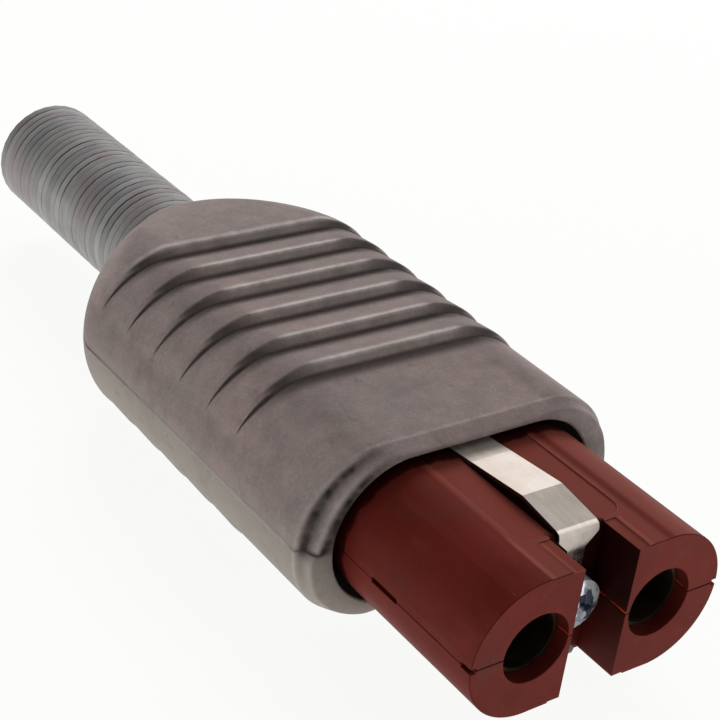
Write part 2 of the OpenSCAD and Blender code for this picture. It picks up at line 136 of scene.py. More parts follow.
class Sheet:
    """A thin layer over a node tree, so that trees read as a list of steps."""

    def __init__(self, tree: bpy.types.NodeTree) -> None:
        """Keeps the tree that nodes are added to."""
        self.tree = tree

    def add(self, kind: str, **settings: object) -> bpy.types.Node:
        """Adds a node.

        Args:
            kind: Blender's name for the node's type.
            settings: Properties to set on the node.

        Returns:
            The new node.
        """
        node = self.tree.nodes.new(kind)
        for key, value in settings.items():
            setattr(node, key, value)
        return node

    def feed(self, socket: bpy.types.NodeSocket, value: object) -> None:
        """Links a socket to an output, or sets its own value."""
        if isinstance(value, Flow):
            self.tree.links.new(value.socket, socket)
        else:
            socket.default_value = value

    def step(self, kind: str, inputs: dict[str | int, object] | None = None, **settings: object) -> Flow:
        """Adds a node and feeds its inputs.

        Args:
            kind: Blender's name for the node's type.
            inputs: Numbers or outputs, by the input's name or number.
            settings: Properties to set on the node.

        Returns:
            The node's first output.
        """
        node = self.add(kind, **settings)
        for key, value in (inputs or {}).items():
            self.feed(node.inputs[key], value)
        return Flow(self, node.outputs[0])

    def math(self, operation: str, *values: Number) -> Flow:
        """One step of arithmetic, by Blender's name for it."""
        return self.step("ShaderNodeMath", dict(enumerate(values)), operation=operation)

    def most(self, *values: Number) -> Flow:
        """The greatest of some values."""
        return reduce(lambda best, value: self.math("MAXIMUM", best, value), values)

    def clamp(self, value: Flow, low: float, high: Number) -> Flow:
        """A value held between two limits."""
        return self.math("MINIMUM", self.most(value, low), high)

    def distance(self, first: Flow, second: Flow) -> Flow:
        """The distance that two steps at a right angle cover."""
        return self.math("SQRT", first * first + second * second)

    def smooth(self, value: Flow, low: Number, high: Number) -> Flow:
        """0 at low and before it, 1 at high and past it, with a smooth change between."""
        return self.step("ShaderNodeMapRange", {0: value, 1: low, 2: high}, interpolation_type="SMOOTHSTEP")

    def band(self, value: Flow, span: Span) -> Flow:
        """1 between the span's two middle numbers, falling smoothly to 0 at its ends."""
        start, full, until, end = span
        return self.smooth(value, start, full) * self.smooth(value, end, until)

    def wander(self, value: Flow, scale: float, detail: float = 2.0) -> Flow:
        """Noise along one number, around 0.5."""
        inputs = {"W": value, "Scale": scale, "Detail": detail}
        return self.step("ShaderNodeTexNoise", inputs, noise_dimensions="1D")

    def split(self, vector: Flow) -> tuple[Flow, ...]:
        """The three numbers of a vector.

        Args:
            vector: The vector's output.

        Returns:
            Outputs for x, y and z.
        """
        node = self.add("ShaderNodeSeparateXYZ")
        self.feed(node.inputs[0], vector)
        return tuple(Flow(self, output) for output in node.outputs)


class ShapeTree(Sheet):
    """A Geometry Nodes tree with named inputs, made into a plain mesh by bake."""

    def __init__(self, name: str) -> None:
        """Starts an empty tree with a geometry input and output.

        Args:
            name: The tree's name.
        """
        super().__init__(bpy.data.node_groups.new(name, "GeometryNodeTree"))
        for way in ("INPUT", "OUTPUT"):
            self.tree.interface.new_socket("Geometry", in_out=way, socket_type="NodeSocketGeometry")
        self.values: dict[str, object] = {}
        self.start = self.add("NodeGroupInput")
        self.end = self.add("NodeGroupOutput")

    def size(self, name: str, value: object) -> Flow:
        """Adds a named input.

        Args:
            name: The input's name.
            value: A float, an int or a material.

        Returns:
            The output that carries the input's value.
        """
        kinds = {float: "NodeSocketFloat", int: "NodeSocketInt"}
        kind = kinds.get(type(value), "NodeSocketMaterial")
        socket = self.tree.interface.new_socket(name, in_out="INPUT", socket_type=kind)
        self.values[socket.identifier] = value
        return Flow(self, self.start.outputs[name])

    def place(self) -> tuple[Flow, ...]:
        """The position of each point, in metres."""
        return self.split(self.step("GeometryNodeInputPosition"))

    def stored(self, name: str, kind: str = "FLOAT") -> Flow:
        """A value that the mesh carries."""
        return self.step("GeometryNodeInputNamedAttribute", {"Name": name}, data_type=kind)

    def store(self, geometry: Flow, name: str, value: Flow) -> Flow:
        """The geometry with a number stored on each point."""
        inputs = {"Geometry": geometry, "Name": name, "Value": value}
        return self.step("GeometryNodeStoreNamedAttribute", inputs, data_type="FLOAT", domain="POINT")

    def close(self, geometry: Flow, finish: bpy.types.Material) -> None:
        """Ends the tree with smooth shading, realized instances and the finish.

        Args:
            geometry: The finished shape's output.
            finish: The material to set.
        """
        shaded = self.step("GeometryNodeSetShadeSmooth", {"Geometry": geometry})
        real = self.step("GeometryNodeRealizeInstances", {"Geometry": shaded})
        inputs = {"Geometry": real, "Material": self.size("Finish", finish)}
        self.feed(self.end.inputs[0], self.step("GeometryNodeSetMaterial", inputs))

    def bake(self, name: str, base: bpy.types.Mesh) -> bpy.types.Object:
        """Runs the tree on a mesh and keeps the result as a plain piece.

        Args:
            name: The piece's name.
            base: The mesh that the tree starts from.

        Returns:
            The piece, with no modifier left on it.
        """
        carrier = piece_from(name + "_base", base)
        modifier = carrier.modifiers.new("shape", "NODES")
        modifier.node_group = self.tree
        for identifier, value in self.values.items():
            modifier[identifier] = value
        graph = bpy.context.evaluated_depsgraph_get()
        mesh = bpy.data.meshes.new_from_object(carrier.evaluated_get(graph))
        bpy.data.objects.remove(carrier)
        mesh.name = name
        return piece_from(name, mesh)


def piece_from(name: str, mesh: bpy.types.Mesh) -> bpy.types.Object:
    """Links a mesh into the scene as a piece at the origin.

    Args:
        name: The piece's name.
        mesh: Its mesh, in the row frame.

    Returns:
        The new piece.
    """
    piece = bpy.data.objects.new(name, mesh)
    bpy.context.collection.objects.link(piece)
    return piece


def linear(red: float, green: float, blue: float) -> Colour:
    """A colour given in screen values from 0 to 255, as linear light."""
    def channel(value: float) -> float:
        """One channel in linear light."""
        level = value / 255.0
        return level / 12.92 if level <= 0.04045 else ((level + 0.055) / 1.055) ** 2.4
    return (channel(red), channel(green), channel(blue), 1.0)


@dataclass(frozen=True)
class Grain:
    """Noise on a surface: grains per metre, finer layers, their weight, and a factor on each axis."""

    scale: float
    detail: float = 3.0
    rough: float = 0.6
    stretch: tuple[float, float, float] = (1.0, 1.0, 1.0)


class FinishSheet(Sheet):
    """A material's node tree with one Principled shader."""

    def __init__(self, name: str) -> None:
        """Starts a material with its shader and its Object coordinates.

        Args:
            name: The material's name.
        """
        self.material = bpy.data.materials.new(name)
        self.material.use_nodes = True
        super().__init__(self.material.node_tree)
        self.shader = next(n for n in self.tree.nodes if n.type == "BSDF_PRINCIPLED")
        self.place = Flow(self, self.add("ShaderNodeTexCoord").outputs["Object"])

    def noise(self, grain: Grain) -> Flow:
        """Noise on Object coordinates, around 0.5."""
        spot = self.step("ShaderNodeMapping", {"Vector": self.place, "Scale": grain.stretch})
        return self.step("ShaderNodeTexNoise", {"Vector": spot, "Scale": grain.scale, "Detail": grain.detail,
                                                "Roughness": grain.rough})

    def axes(self) -> tuple[Flow, ...]:
        """The plug's own x, y and z in millimetres, counted from its axis at the sleeve's mouth."""
        x, y, z = (value * (1.0 / MM) for value in self.split(self.place))
        return x, y + PLACING.mid_y, z - PLACING.axis_height

    def attribute(self, name: str) -> Flow:
        """A number stored on the piece's own mesh."""
        return Flow(self, self.add("ShaderNodeAttribute", attribute_name=name).outputs["Fac"])

    def spread(self, value: Flow, low: float, high: float, to_low: float, to_high: float) -> Flow:
        """Maps a range of numbers onto another, held at its ends."""
        return self.step("ShaderNodeMapRange", dict(enumerate((value, low, high, to_low, to_high))))

    def blend(self, amount: Number, first: Flow | Colour, second: Flow | Colour, mode: str = "MIX") -> Flow:
        """Blends two colours.

        Args:
            amount: Share of the second colour, from 0 to 1.
            first: A colour or an output.
            second: A colour or an output.
            mode: Blender's name for the blend.

        Returns:
            The blended colour's output.
        """
        node = self.add("ShaderNodeMix", data_type="RGBA", blend_type=mode)
        for key, value in (("Factor", amount), (6, first), (7, second)):
            self.feed(node.inputs[key], value)
        return Flow(self, node.outputs[2])

    def bump(self, height: Flow, depth: float, strength: float, under: Flow | None = None) -> Flow:
        """A bump from a height in 0 to 1.

        Args:
            height: The height's output.
            depth: Height of a full step, in metres.
            strength: How much of it shows.
            under: Output of an earlier bump to stack on.

        Returns:
            The bumped normal's output.
        """
        inputs = {"Strength": strength, "Distance": depth, "Height": height}
        if under is not None:
            inputs["Normal"] = under
        return self.step("ShaderNodeBump", inputs)

    def set(self, **sockets: object) -> None:
        """Feeds the shader's sockets, with underscores for the spaces in their names."""
        for key, value in sockets.items():
            self.feed(self.shader.inputs[key.replace("_", " ")], value)


@dataclass(frozen=True)
class SiliconeFinish:
    """Matte grey silicone with pale scuffed edges and painted highlights, grooves darkened with dirt and painted
    shade, painted light and shade round the flanks, fine sandy grain and a moulding line.
    """

    body: Colour = linear(123, 113, 110)
    warm: Colour = linear(134, 117, 114)
    # Painted light from below: a paler, greyer tone for the lower half.
    lower: Colour = linear(131, 123, 116)
    pale: Colour = linear(180, 170, 166)
    dark: Colour = linear(26, 20, 18)
    cloud: Grain = Grain(70.0, 4.0)
    mottle: Grain = Grain(420.0)
    grain: Grain = Grain(2600.0, 2.0)
    sand: Grain = Grain(1300.0, 2.0, 0.7)
    patch: Grain = Grain(190.0)
    speck: Grain = Grain(640.0, 2.0, 0.5, (1.0, 0.8, 1.0))
    # Painted light and shade on the flanks: a lighter band high up, a darker band low down and a darker band by the
    # top edges.
    lit_band: float = 0.19
    lit_band_heights: Span = (4.5, 7.0, 9.8, 11.8)
    shaded: float = 0.08
    shaded_heights: Span = (0.8, 3.0, 4.8, 6.4)
    brow_shade: float = 0.14
    brow_shade_span: Span = (11.0, 13.0, 16.0, 20.0)
    brow_shade_heights: Pair = (10.5, 12.2)
    lower_heights: Pair = (2.0, -2.0)
    grain_depth: float = 0.00006
    mottle_depth: float = 0.00022
    rough: Pair = (0.66, 0.82)
    specular: float = 0.22

    def tone(self, sheet: FinishSheet) -> Flow:
        """Painted light and shade round the flanks, as a factor on the colour: a lighter band high up, a darker
        band low down and a darker band by the top edges.

        Args:
            sheet: The material's node tree.

        Returns:
            An output around 1.
        """
        x, _, height = sheet.axes()
        shaded = sheet.band(height, self.shaded_heights) * self.shaded
        brow_shade = sheet.band(abs(x), self.brow_shade_span) * sheet.smooth(height, *self.brow_shade_heights) * self.brow_shade
        return sheet.band(height, self.lit_band_heights) * self.lit_band - sheet.most(shaded, brow_shade) + 1.0

    def material(self) -> bpy.types.Material:
        """Builds the material.

        Returns:
            The new material.
        """
        sheet = FinishSheet("grey_silicone")
        cloud, mottle, grain = (sheet.noise(kind) for kind in (self.cloud, self.mottle, self.grain))
        colour = sheet.blend(sheet.spread(cloud, 0.35, 0.65, 0.0, 0.85), self.body, self.warm)
        shade = sheet.spread(mottle, 0.3, 0.7, 0.88, 1.12) * sheet.spread(grain, 0.25, 0.75, 0.9, 1.1)
        for factor in (shade, self.tone(sheet)):
            colour = sheet.blend(1.0, colour, factor, "MULTIPLY")
        _, _, height = sheet.axes()
        # Painted light from below: the lower half blends to the paler, greyer tone.
        colour = sheet.blend(sheet.smooth(height, *self.lower_heights), colour, self.lower)
        spots = ((self.sand, 0.56, 0.74, 0.09, self.pale), (self.patch, 0.55, 0.75, 0.16, self.dark),
                 (self.speck, 0.64, 0.78, 0.18, self.dark))
        for kind, low, high, share, tint in spots:
            colour = sheet.blend(sheet.spread(sheet.noise(kind), low, high, 0.0, share), colour, tint)
        # Pale marks: scuffing with painted highlights and painted light. Dark marks: dirt with painted shade in the
        # grooves and on the rim, and the moulding line.
        marks = (("edge_wear_and_light", mottle, 0.3, 0.65, 0.42, self.pale),
                 ("groove_soil_and_shade", mottle, 0.25, 0.6, 0.82, self.dark),
                 ("mould_line", cloud, 0.36, 0.56, 0.35, self.dark))
        for name, uneven, low, high, least, tint in marks:
            amount = sheet.attribute(name) * sheet.spread(uneven, low, high, least, 1.0)
            colour = sheet.blend(amount, colour, tint)
        normal = sheet.bump(mottle, self.mottle_depth, 0.35, sheet.bump(grain, self.grain_depth, 0.55))
        sheet.set(Base_Color=colour, Roughness=sheet.spread(mottle, 0.3, 0.7, *self.rough), Normal=normal,
                  Specular_IOR_Level=self.specular)
        return sheet.material


class BlockMarks(NamedTuple):
    """Masks on the socket block: painted shade, painted shade in the creases, dusting with painted light on the
    flats, flash at the parting and painted light lines.
    """

    shade: Flow
    crease: Flow
    dust_and_light: Flow
    flash: Flow
    light: Flow


@dataclass(frozen=True)
class CompoundFinish:
    """Satin red-brown moulding compound: painted shade in the gap, the holes, the creases, under the strip and at
    the sleeve's mouth, painted light on the flats and in lines, scuffed edges, and flash.
    """

    body: Colour = linear(96, 33, 26)
    deep: Colour = linear(84, 27, 20)
    # Dusting colour, also used for painted light on the flats.
    dust_and_light: Colour = linear(124, 64, 54)
    # Scuffed edges and painted light lines.
    worn_and_lit: Colour = linear(140, 76, 66)
    # Painted light on walls that sit in shade.
    wall_light: Colour = linear(172, 100, 88)
    smudge: Colour = linear(74, 44, 40)
    # Colour of the painted shade.
    painted_shade: Colour = linear(32, 4, 2)
    flash: Colour = linear(152, 48, 22)
    cloud: Grain = Grain(90.0, 4.0, 0.55)
    streak: Grain = Grain(380.0, stretch=(1.0, 0.25, 1.0))
    grain: Grain = Grain(3200.0, 2.0)
    speck: Grain = Grain(1500.0, 1.0, 0.5)
    stain: Grain = Grain(130.0, 3.0, 0.5, (1.0, 0.7, 1.0))
    mouth_edge: Grain = Grain(420.0, 2.0)
    flash_edge: Grain = Grain(500.0, 2.0)
    gap_half: float = 4.1
    pin_half: float = 9.5
    hole_r: float = 4.75
    flat_half: float = 8.75
    ledge_half: float = 5.9
    web_y: float = -19.1
    face_y: float = -25.5
    seat_half: float = 3.2
    seat_z: float = 9.0
    recess_half: float = 7.9
    parting_z: float = 0.22
    dim_span: Span = (-0.8, -0.35, -0.15, 0.0)
    lit_span: Span = (0.0, 0.15, 0.35, 0.8)
    dust_and_light_share: float = 0.58
    crease_share: float = 0.2
    grain_depth: float = 0.00003
    streak_depth: float = 0.00008
    rough: Pair = (0.42, 0.54)
    specular: float = 0.04

    def under_strip(self, sheet: FinishSheet) -> Flow:
        """The strip's shade on its seat and to the left of it.

        Args:
            sheet: The material's node tree.

        Returns:
            An output from 0 to 1.
        """
        x, y, z = sheet.axes()
        seat = sheet.smooth(abs(x), self.seat_half + 0.1, self.seat_half)
        beside = sheet.smooth(x, -self.seat_half - 1.5, -self.seat_half - 0.1) * (x < 0.0)
        under = sheet.most(seat * 0.75, beside * 0.6) * sheet.smooth(z, self.seat_z + 0.3, self.seat_z + 0.15)
        return under * sheet.smooth(y, self.web_y + 0.3, self.web_y + 2.5)

    def at_mouth(self, sheet: FinishSheet) -> Flow:
        """The uneven painted shadow where the block leaves the sleeve.

        Args:
            sheet: The material's node tree.

        Returns:
            An output from 0 to 1.
        """
        _, y, _ = sheet.axes()
        uneven = y + sheet.spread(sheet.noise(self.mouth_edge), 0.3, 0.7, -0.3, 0.3)
        return sheet.smooth(uneven, -0.9, -0.25) * 0.7 + sheet.smooth(uneven, -3.2, -0.4) * 0.25

    def marks(self, sheet: FinishSheet) -> BlockMarks:
        """Masks of what sets the block's faces apart.

        Args:
            sheet: The material's node tree.

        Returns:
            Outputs from 0 to 1.
        """
        x, y, z = sheet.axes()
        across, left, right = abs(x), x < 0.0, x > 0.0
        # Painted shade in the gap between the lobes and in the holes.
        gap = sheet.smooth(across, self.gap_half + 0.12, self.gap_half + 0.04)
        gap = gap * sheet.smooth(y, self.web_y + 1.5, self.web_y + 0.1)
        reach = sheet.distance(across - self.pin_half, z)
        hole = sheet.smooth(reach, self.hole_r + 0.1, self.hole_r + 0.02)
        in_gap = gap * sheet.spread(z, -9.0, 2.0, 0.4, 1.0)
        # All the painted shade: gap, holes, under the strip and at the sleeve's mouth.
        shade = sheet.most(in_gap, hole * 0.5, self.under_strip(sheet), self.at_mouth(sheet))
        behind = sheet.smooth(y, self.face_y + 0.02, self.face_y + 0.12)
        top = sheet.smooth(abs(z), 8.8, 9.2) * behind
        border = sheet.smooth(abs(across - self.flat_half), 0.6, 0.0) * top
        ledge = (across - self.ledge_half) * sheet.math("SIGN", x)
        beside_gap = top * sheet.smooth(y, self.web_y + 0.1, self.web_y - 0.3)
        # Painted shade in the creases, and on the dark side of the bead by the ledge.
        crease = sheet.most(border * right, sheet.band(ledge, self.dim_span) * beside_gap)
        # Dusting with painted light on the top flats; painted light alone on the right flank.
        flat = sheet.smooth(across, self.flat_half + 0.5, self.flat_half - 0.3) * top
        far = sheet.smooth(x, self.flat_half + 0.5, self.flat_half + 1.6) * (sheet.smooth(z, 3.0, 6.0) * behind)
        ridge = sheet.smooth(abs(z - self.parting_z), 0.24, 0.1)
        ragged = sheet.spread(sheet.noise(self.flash_edge), 0.42, 0.56, 0.0, 0.9)
        # Painted highlight along the recess edge.
        lip = sheet.smooth(abs(across - (self.recess_half + 0.12)), 0.55, 0.0)
        lip = lip * sheet.smooth(z, self.seat_z + 0.32, self.seat_z + 0.4)
        lip = lip * sheet.smooth(y, self.web_y + 2.2, self.web_y + 3.0)
        # Painted highlight on the bead's lit side, and along the left lobe's crease.
        lit = sheet.band(ledge, self.lit_span) * beside_gap
        line = border * left * sheet.smooth(y, self.web_y + 4.0, self.web_y)
        return BlockMarks(shade=shade, crease=crease, dust_and_light=sheet.most(flat, far * 1.2),
                          flash=ridge * ragged * sheet.most(gap * right, hole),
                          light=sheet.most(lip * 0.3, lit * 0.5, line * 0.6))

    def material(self) -> bpy.types.Material:
        """Builds the material.

        Returns:
            The new material.
        """
        sheet = FinishSheet("red_compound")
        cloud, streak, grain = (sheet.noise(kind) for kind in (self.cloud, self.streak, self.grain))
        speck, stain = sheet.noise(self.speck), sheet.noise(self.stain)
        edge = sheet.attribute("edge_wear_and_light")
        marks = self.marks(sheet)
        worn_and_lit = sheet.most(edge, 0.0) * sheet.spread(streak, 0.3, 0.6, 0.3, 0.8)
        colour = sheet.blend(sheet.spread(cloud, 0.38, 0.66, 0.0, 0.8), self.body, self.deep)
        layers = (
            (sheet.spread(streak, 0.52, 0.8, 0.0, 0.2), self.dust_and_light),
            (sheet.spread(speck, 0.72, 0.8, 0.0, 0.35), self.dust_and_light),
            (sheet.spread(stain, 0.58, 0.72, 0.0, 0.45), self.smudge),
            # Dusting with painted light on the flats and the right flank.
            (marks.dust_and_light * self.dust_and_light_share, self.dust_and_light),
            # Painted shade in the creases.
            (marks.crease * self.crease_share, self.painted_shade),
            # Scuffed edges with painted light, and painted highlight lines.
            (sheet.most(worn_and_lit, marks.light), self.worn_and_lit),
            # Painted light on walls that sit in shade.
            (sheet.spread(edge, 1.0, 1.6, 0.0, 0.9), self.wall_light),
            # Painted shade in the shaded places and on the dark edges.
            (sheet.most(marks.shade, -edge), self.painted_shade),
            (marks.flash, self.flash),
        )
        for amount, tint in layers:
            colour = sheet.blend(amount, colour, tint)
        normal = sheet.bump(streak, self.streak_depth, 0.25, sheet.bump(grain, self.grain_depth, 0.4))
        sheet.set(Base_Color=colour, Roughness=sheet.spread(streak, 0.3, 0.7, *self.rough), Normal=normal,
                  Specular_IOR_Level=self.specular)
        return sheet.material


@dataclass(frozen=True)
class StripShadeAndDull:
    """Where the bent strip gets painted shade, on its cut sides and its lower leaf, and where it is dull: its
    bends, its lower leaf and its foot at the sleeve.
    """

    # Colour of the painted shade on the cut sides and the lower leaf.
    colour: Colour = linear(50, 30, 28)
    share: float = 0.9
    half_w: float = 3.1
    front: float = -19.5
    foot: float = -2.8
    bend_heights: Pair = (6.6, 7.8)
    lower_heights: Pair = (-6.0, -7.0)
    rougher: float = 0.3
    least_metal: float = 0.3

    def lay(self, sheet: FinishSheet, colour: Flow) -> tuple[Flow, Flow]:
        """Paints shade on a colour.

        Args:
            sheet: The material's node tree.
            colour: The clean metal's colour.

        Returns:
            The colour with painted shade, and how dull each place is.
        """
        x, along, height = sheet.axes()
        # Painted shade on the cut sides and on the lower leaf by its front bend.
        cut = sheet.smooth(abs(x), self.half_w - 0.06, self.half_w - 0.02)
        lower = sheet.smooth(along, self.front + 1.2, self.front + 0.6) * sheet.smooth(height, *self.lower_heights)
        bend = sheet.smooth(along, self.front + 0.4, self.front) * sheet.smooth(height, *self.bend_heights)
        foot = sheet.smooth(along, self.foot - 0.1, self.foot) * 0.5
        return sheet.blend(sheet.most(cut, lower) * self.share, colour, self.colour), sheet.most(bend, foot, lower)


@dataclass(frozen=True)
class MetalFinish:
    """A metal with fine drawn or brushed lines and faint stains."""

    name: str
    colour: Colour
    stain: Colour
    rough: Pair
    lines: Grain = Grain(900.0, stretch=(1.0, 0.05, 1.0))
    line_depth: float = 0.00001
    stains: Grain = Grain(160.0, 4.0)
    stain_range: tuple[float, float, float] = (0.42, 0.72, 0.8)
    metal: float = 1.0
    soil_and_shade: StripShadeAndDull | None = None

    def material(self) -> bpy.types.Material:
        """Builds the material.

        Returns:
            The new material.
        """
        sheet = FinishSheet(self.name)
        lines, cloud = sheet.noise(self.lines), sheet.noise(self.stains)
        low, high, share = self.stain_range
        colour = sheet.blend(sheet.spread(cloud, low, high, 0.0, share), self.colour, self.stain)
        colour = sheet.blend(1.0, colour, sheet.spread(lines, 0.3, 0.7, 0.9, 1.06), "MULTIPLY")
        rough, metal = sheet.spread(lines, 0.3, 0.7, *self.rough), self.metal
        # Painted shade on the strip, and its dull places.
        if self.soil_and_shade is not None:
            colour, dull = self.soil_and_shade.lay(sheet, colour)
            rough = rough + dull * self.soil_and_shade.rougher
            metal = sheet.spread(dull, 0.0, 1.0, 1.0, self.soil_and_shade.least_metal)
        normal = sheet.bump(lines, self.line_depth, 0.5)
        sheet.set(Base_Color=colour, Normal=normal, Roughness=rough, Metallic=metal)
        return sheet.material


@dataclass(frozen=True)
class SpringFinish:
    """Drawn steel wire: each turn a little lighter or darker than the next, with uneven painted shade between the
    turns on the upper left side.
    """

    light: Colour = linear(152, 151, 149)
    dark: Colour = linear(123, 122, 123)
    tint: Colour = linear(136, 124, 126)
    # Colour of the painted shade between the turns.
    line: Colour = linear(34, 34, 36)
    gap_shade_side: Pair = (-0.616, 0.788)
    cloud: Grain = Grain(240.0)
    patch: Grain = Grain(130.0, 3.0, 0.5)
    grain: Grain = Grain(2400.0, 2.0, 0.5)
    grain_depth: float = 0.00003
    gap_shade_share: float = 0.85
    rough: Pair = (0.46, 0.6)
    metal: float = 0.35
    specular: float = 0.3

    def lines(self, sheet: FinishSheet) -> Flow:
        """Strength of the painted shade between the turns: on the upper left side, some turns more than others.

        Args:
            sheet: The material's node tree.

        Returns:
            An output from 0 to 1.
        """
        x, _, z = sheet.axes()
        side = (x * self.gap_shade_side[0] + z * self.gap_shade_side[1]) / sheet.distance(x, z)
        some = sheet.spread(sheet.wander(sheet.attribute("turn"), 1.7), 0.44, 0.6, 0.0, 1.0)
        edge = sheet.smooth(abs(sheet.attribute("across")), 0.34, 0.5)
        return sheet.smooth(side, 0.74, 0.96) * some * edge

    def material(self) -> bpy.types.Material:
        """Builds the material.

        Returns:
            The new material.
        """
        sheet = FinishSheet("spring_wire")
        cloud, patch, grain = (sheet.noise(kind) for kind in (self.cloud, self.patch, self.grain))
        turn = sheet.wander(sheet.attribute("turn"), 0.9, 3.0)
        tone = sheet.spread(turn, 0.35, 0.65, 0.0, 0.7) + sheet.spread(cloud, 0.3, 0.7, -0.15, 0.3)
        colour = sheet.blend(tone, self.light, self.dark)
        colour = sheet.blend(sheet.spread(patch, 0.45, 0.65, 0.0, 0.7), colour, self.tint)
        colour = sheet.blend(self.lines(sheet) * self.gap_shade_share, colour, self.line)
        normal = sheet.bump(grain, self.grain_depth, 0.4)
        sheet.set(Base_Color=colour, Roughness=sheet.spread(cloud, 0.3, 0.7, *self.rough), Normal=normal,
                  Metallic=self.metal, Specular_IOR_Level=self.specular)
        return sheet.material


Ring = tuple[float | np.ndarray, np.ndarray]
Curve = tuple[tuple[float, ...], tuple[float, ...]]


class RimRow(NamedTuple):
    """One line round the mouth: its place and inset above and below, then on the flanks, and its marks."""

    above_y: float
    above_in: float
    beside_y: float
    beside_in: float
    above_wear_and_light: float = 0.0
    beside_wear_and_light: float = 0.0
    beside_soil_and_shade: float = 0.0


# After the insets: scuffing and painted light above, scuffing and painted light beside, dirt and painted shade
# beside.
RIM = (
    RimRow(0.0, 1.22, 0.0, 3.6, beside_soil_and_shade=1.0), RimRow(0.02, 1.1, 0.0, 3.2, beside_soil_and_shade=0.95),
    RimRow(0.08, 0.98, 0.04, 2.9, beside_soil_and_shade=0.7), RimRow(0.2, 0.9, 0.16, 2.66, beside_soil_and_shade=0.2),
    RimRow(0.4, 0.8, 0.38, 2.48, beside_wear_and_light=0.3), RimRow(0.6, 0.71, 0.7, 2.34, beside_wear_and_light=0.15),
    RimRow(0.8, 0.62, 1.1, 2.2, beside_soil_and_shade=0.12), RimRow(1.0, 0.53, 1.5, 2.02, beside_soil_and_shade=0.5),
    RimRow(1.2, 0.44, 1.9, 1.8, beside_soil_and_shade=0.95), RimRow(1.4, 0.36, 2.15, 1.5, beside_soil_and_shade=1.0),
    RimRow(1.6, 0.28, 2.2, 1.2, beside_soil_and_shade=0.85), RimRow(1.8, 0.2, 2.15, 0.85, beside_soil_and_shade=0.4),
    RimRow(2.0, 0.12, 2.05, 0.5, 0.08, 0.0, 0.12), RimRow(2.15, 0.06, 2.1, 0.25, 0.22, 0.08),
    RimRow(2.28, 0.02, 2.25, 0.08, 0.4, 0.2), RimRow(2.4, 0.0, 2.45, 0.01, 0.3, 0.12),
    RimRow(2.7, 0.0, 2.8, 0.0),
)


class RibPlace(NamedTuple):
    """Where a point lies on the ribs: past its crest, in a groove of some depth, and aside from the middle."""

    past: Flow
    step: Flow
    pitch: Flow
    deep: Flow
    across: Flow


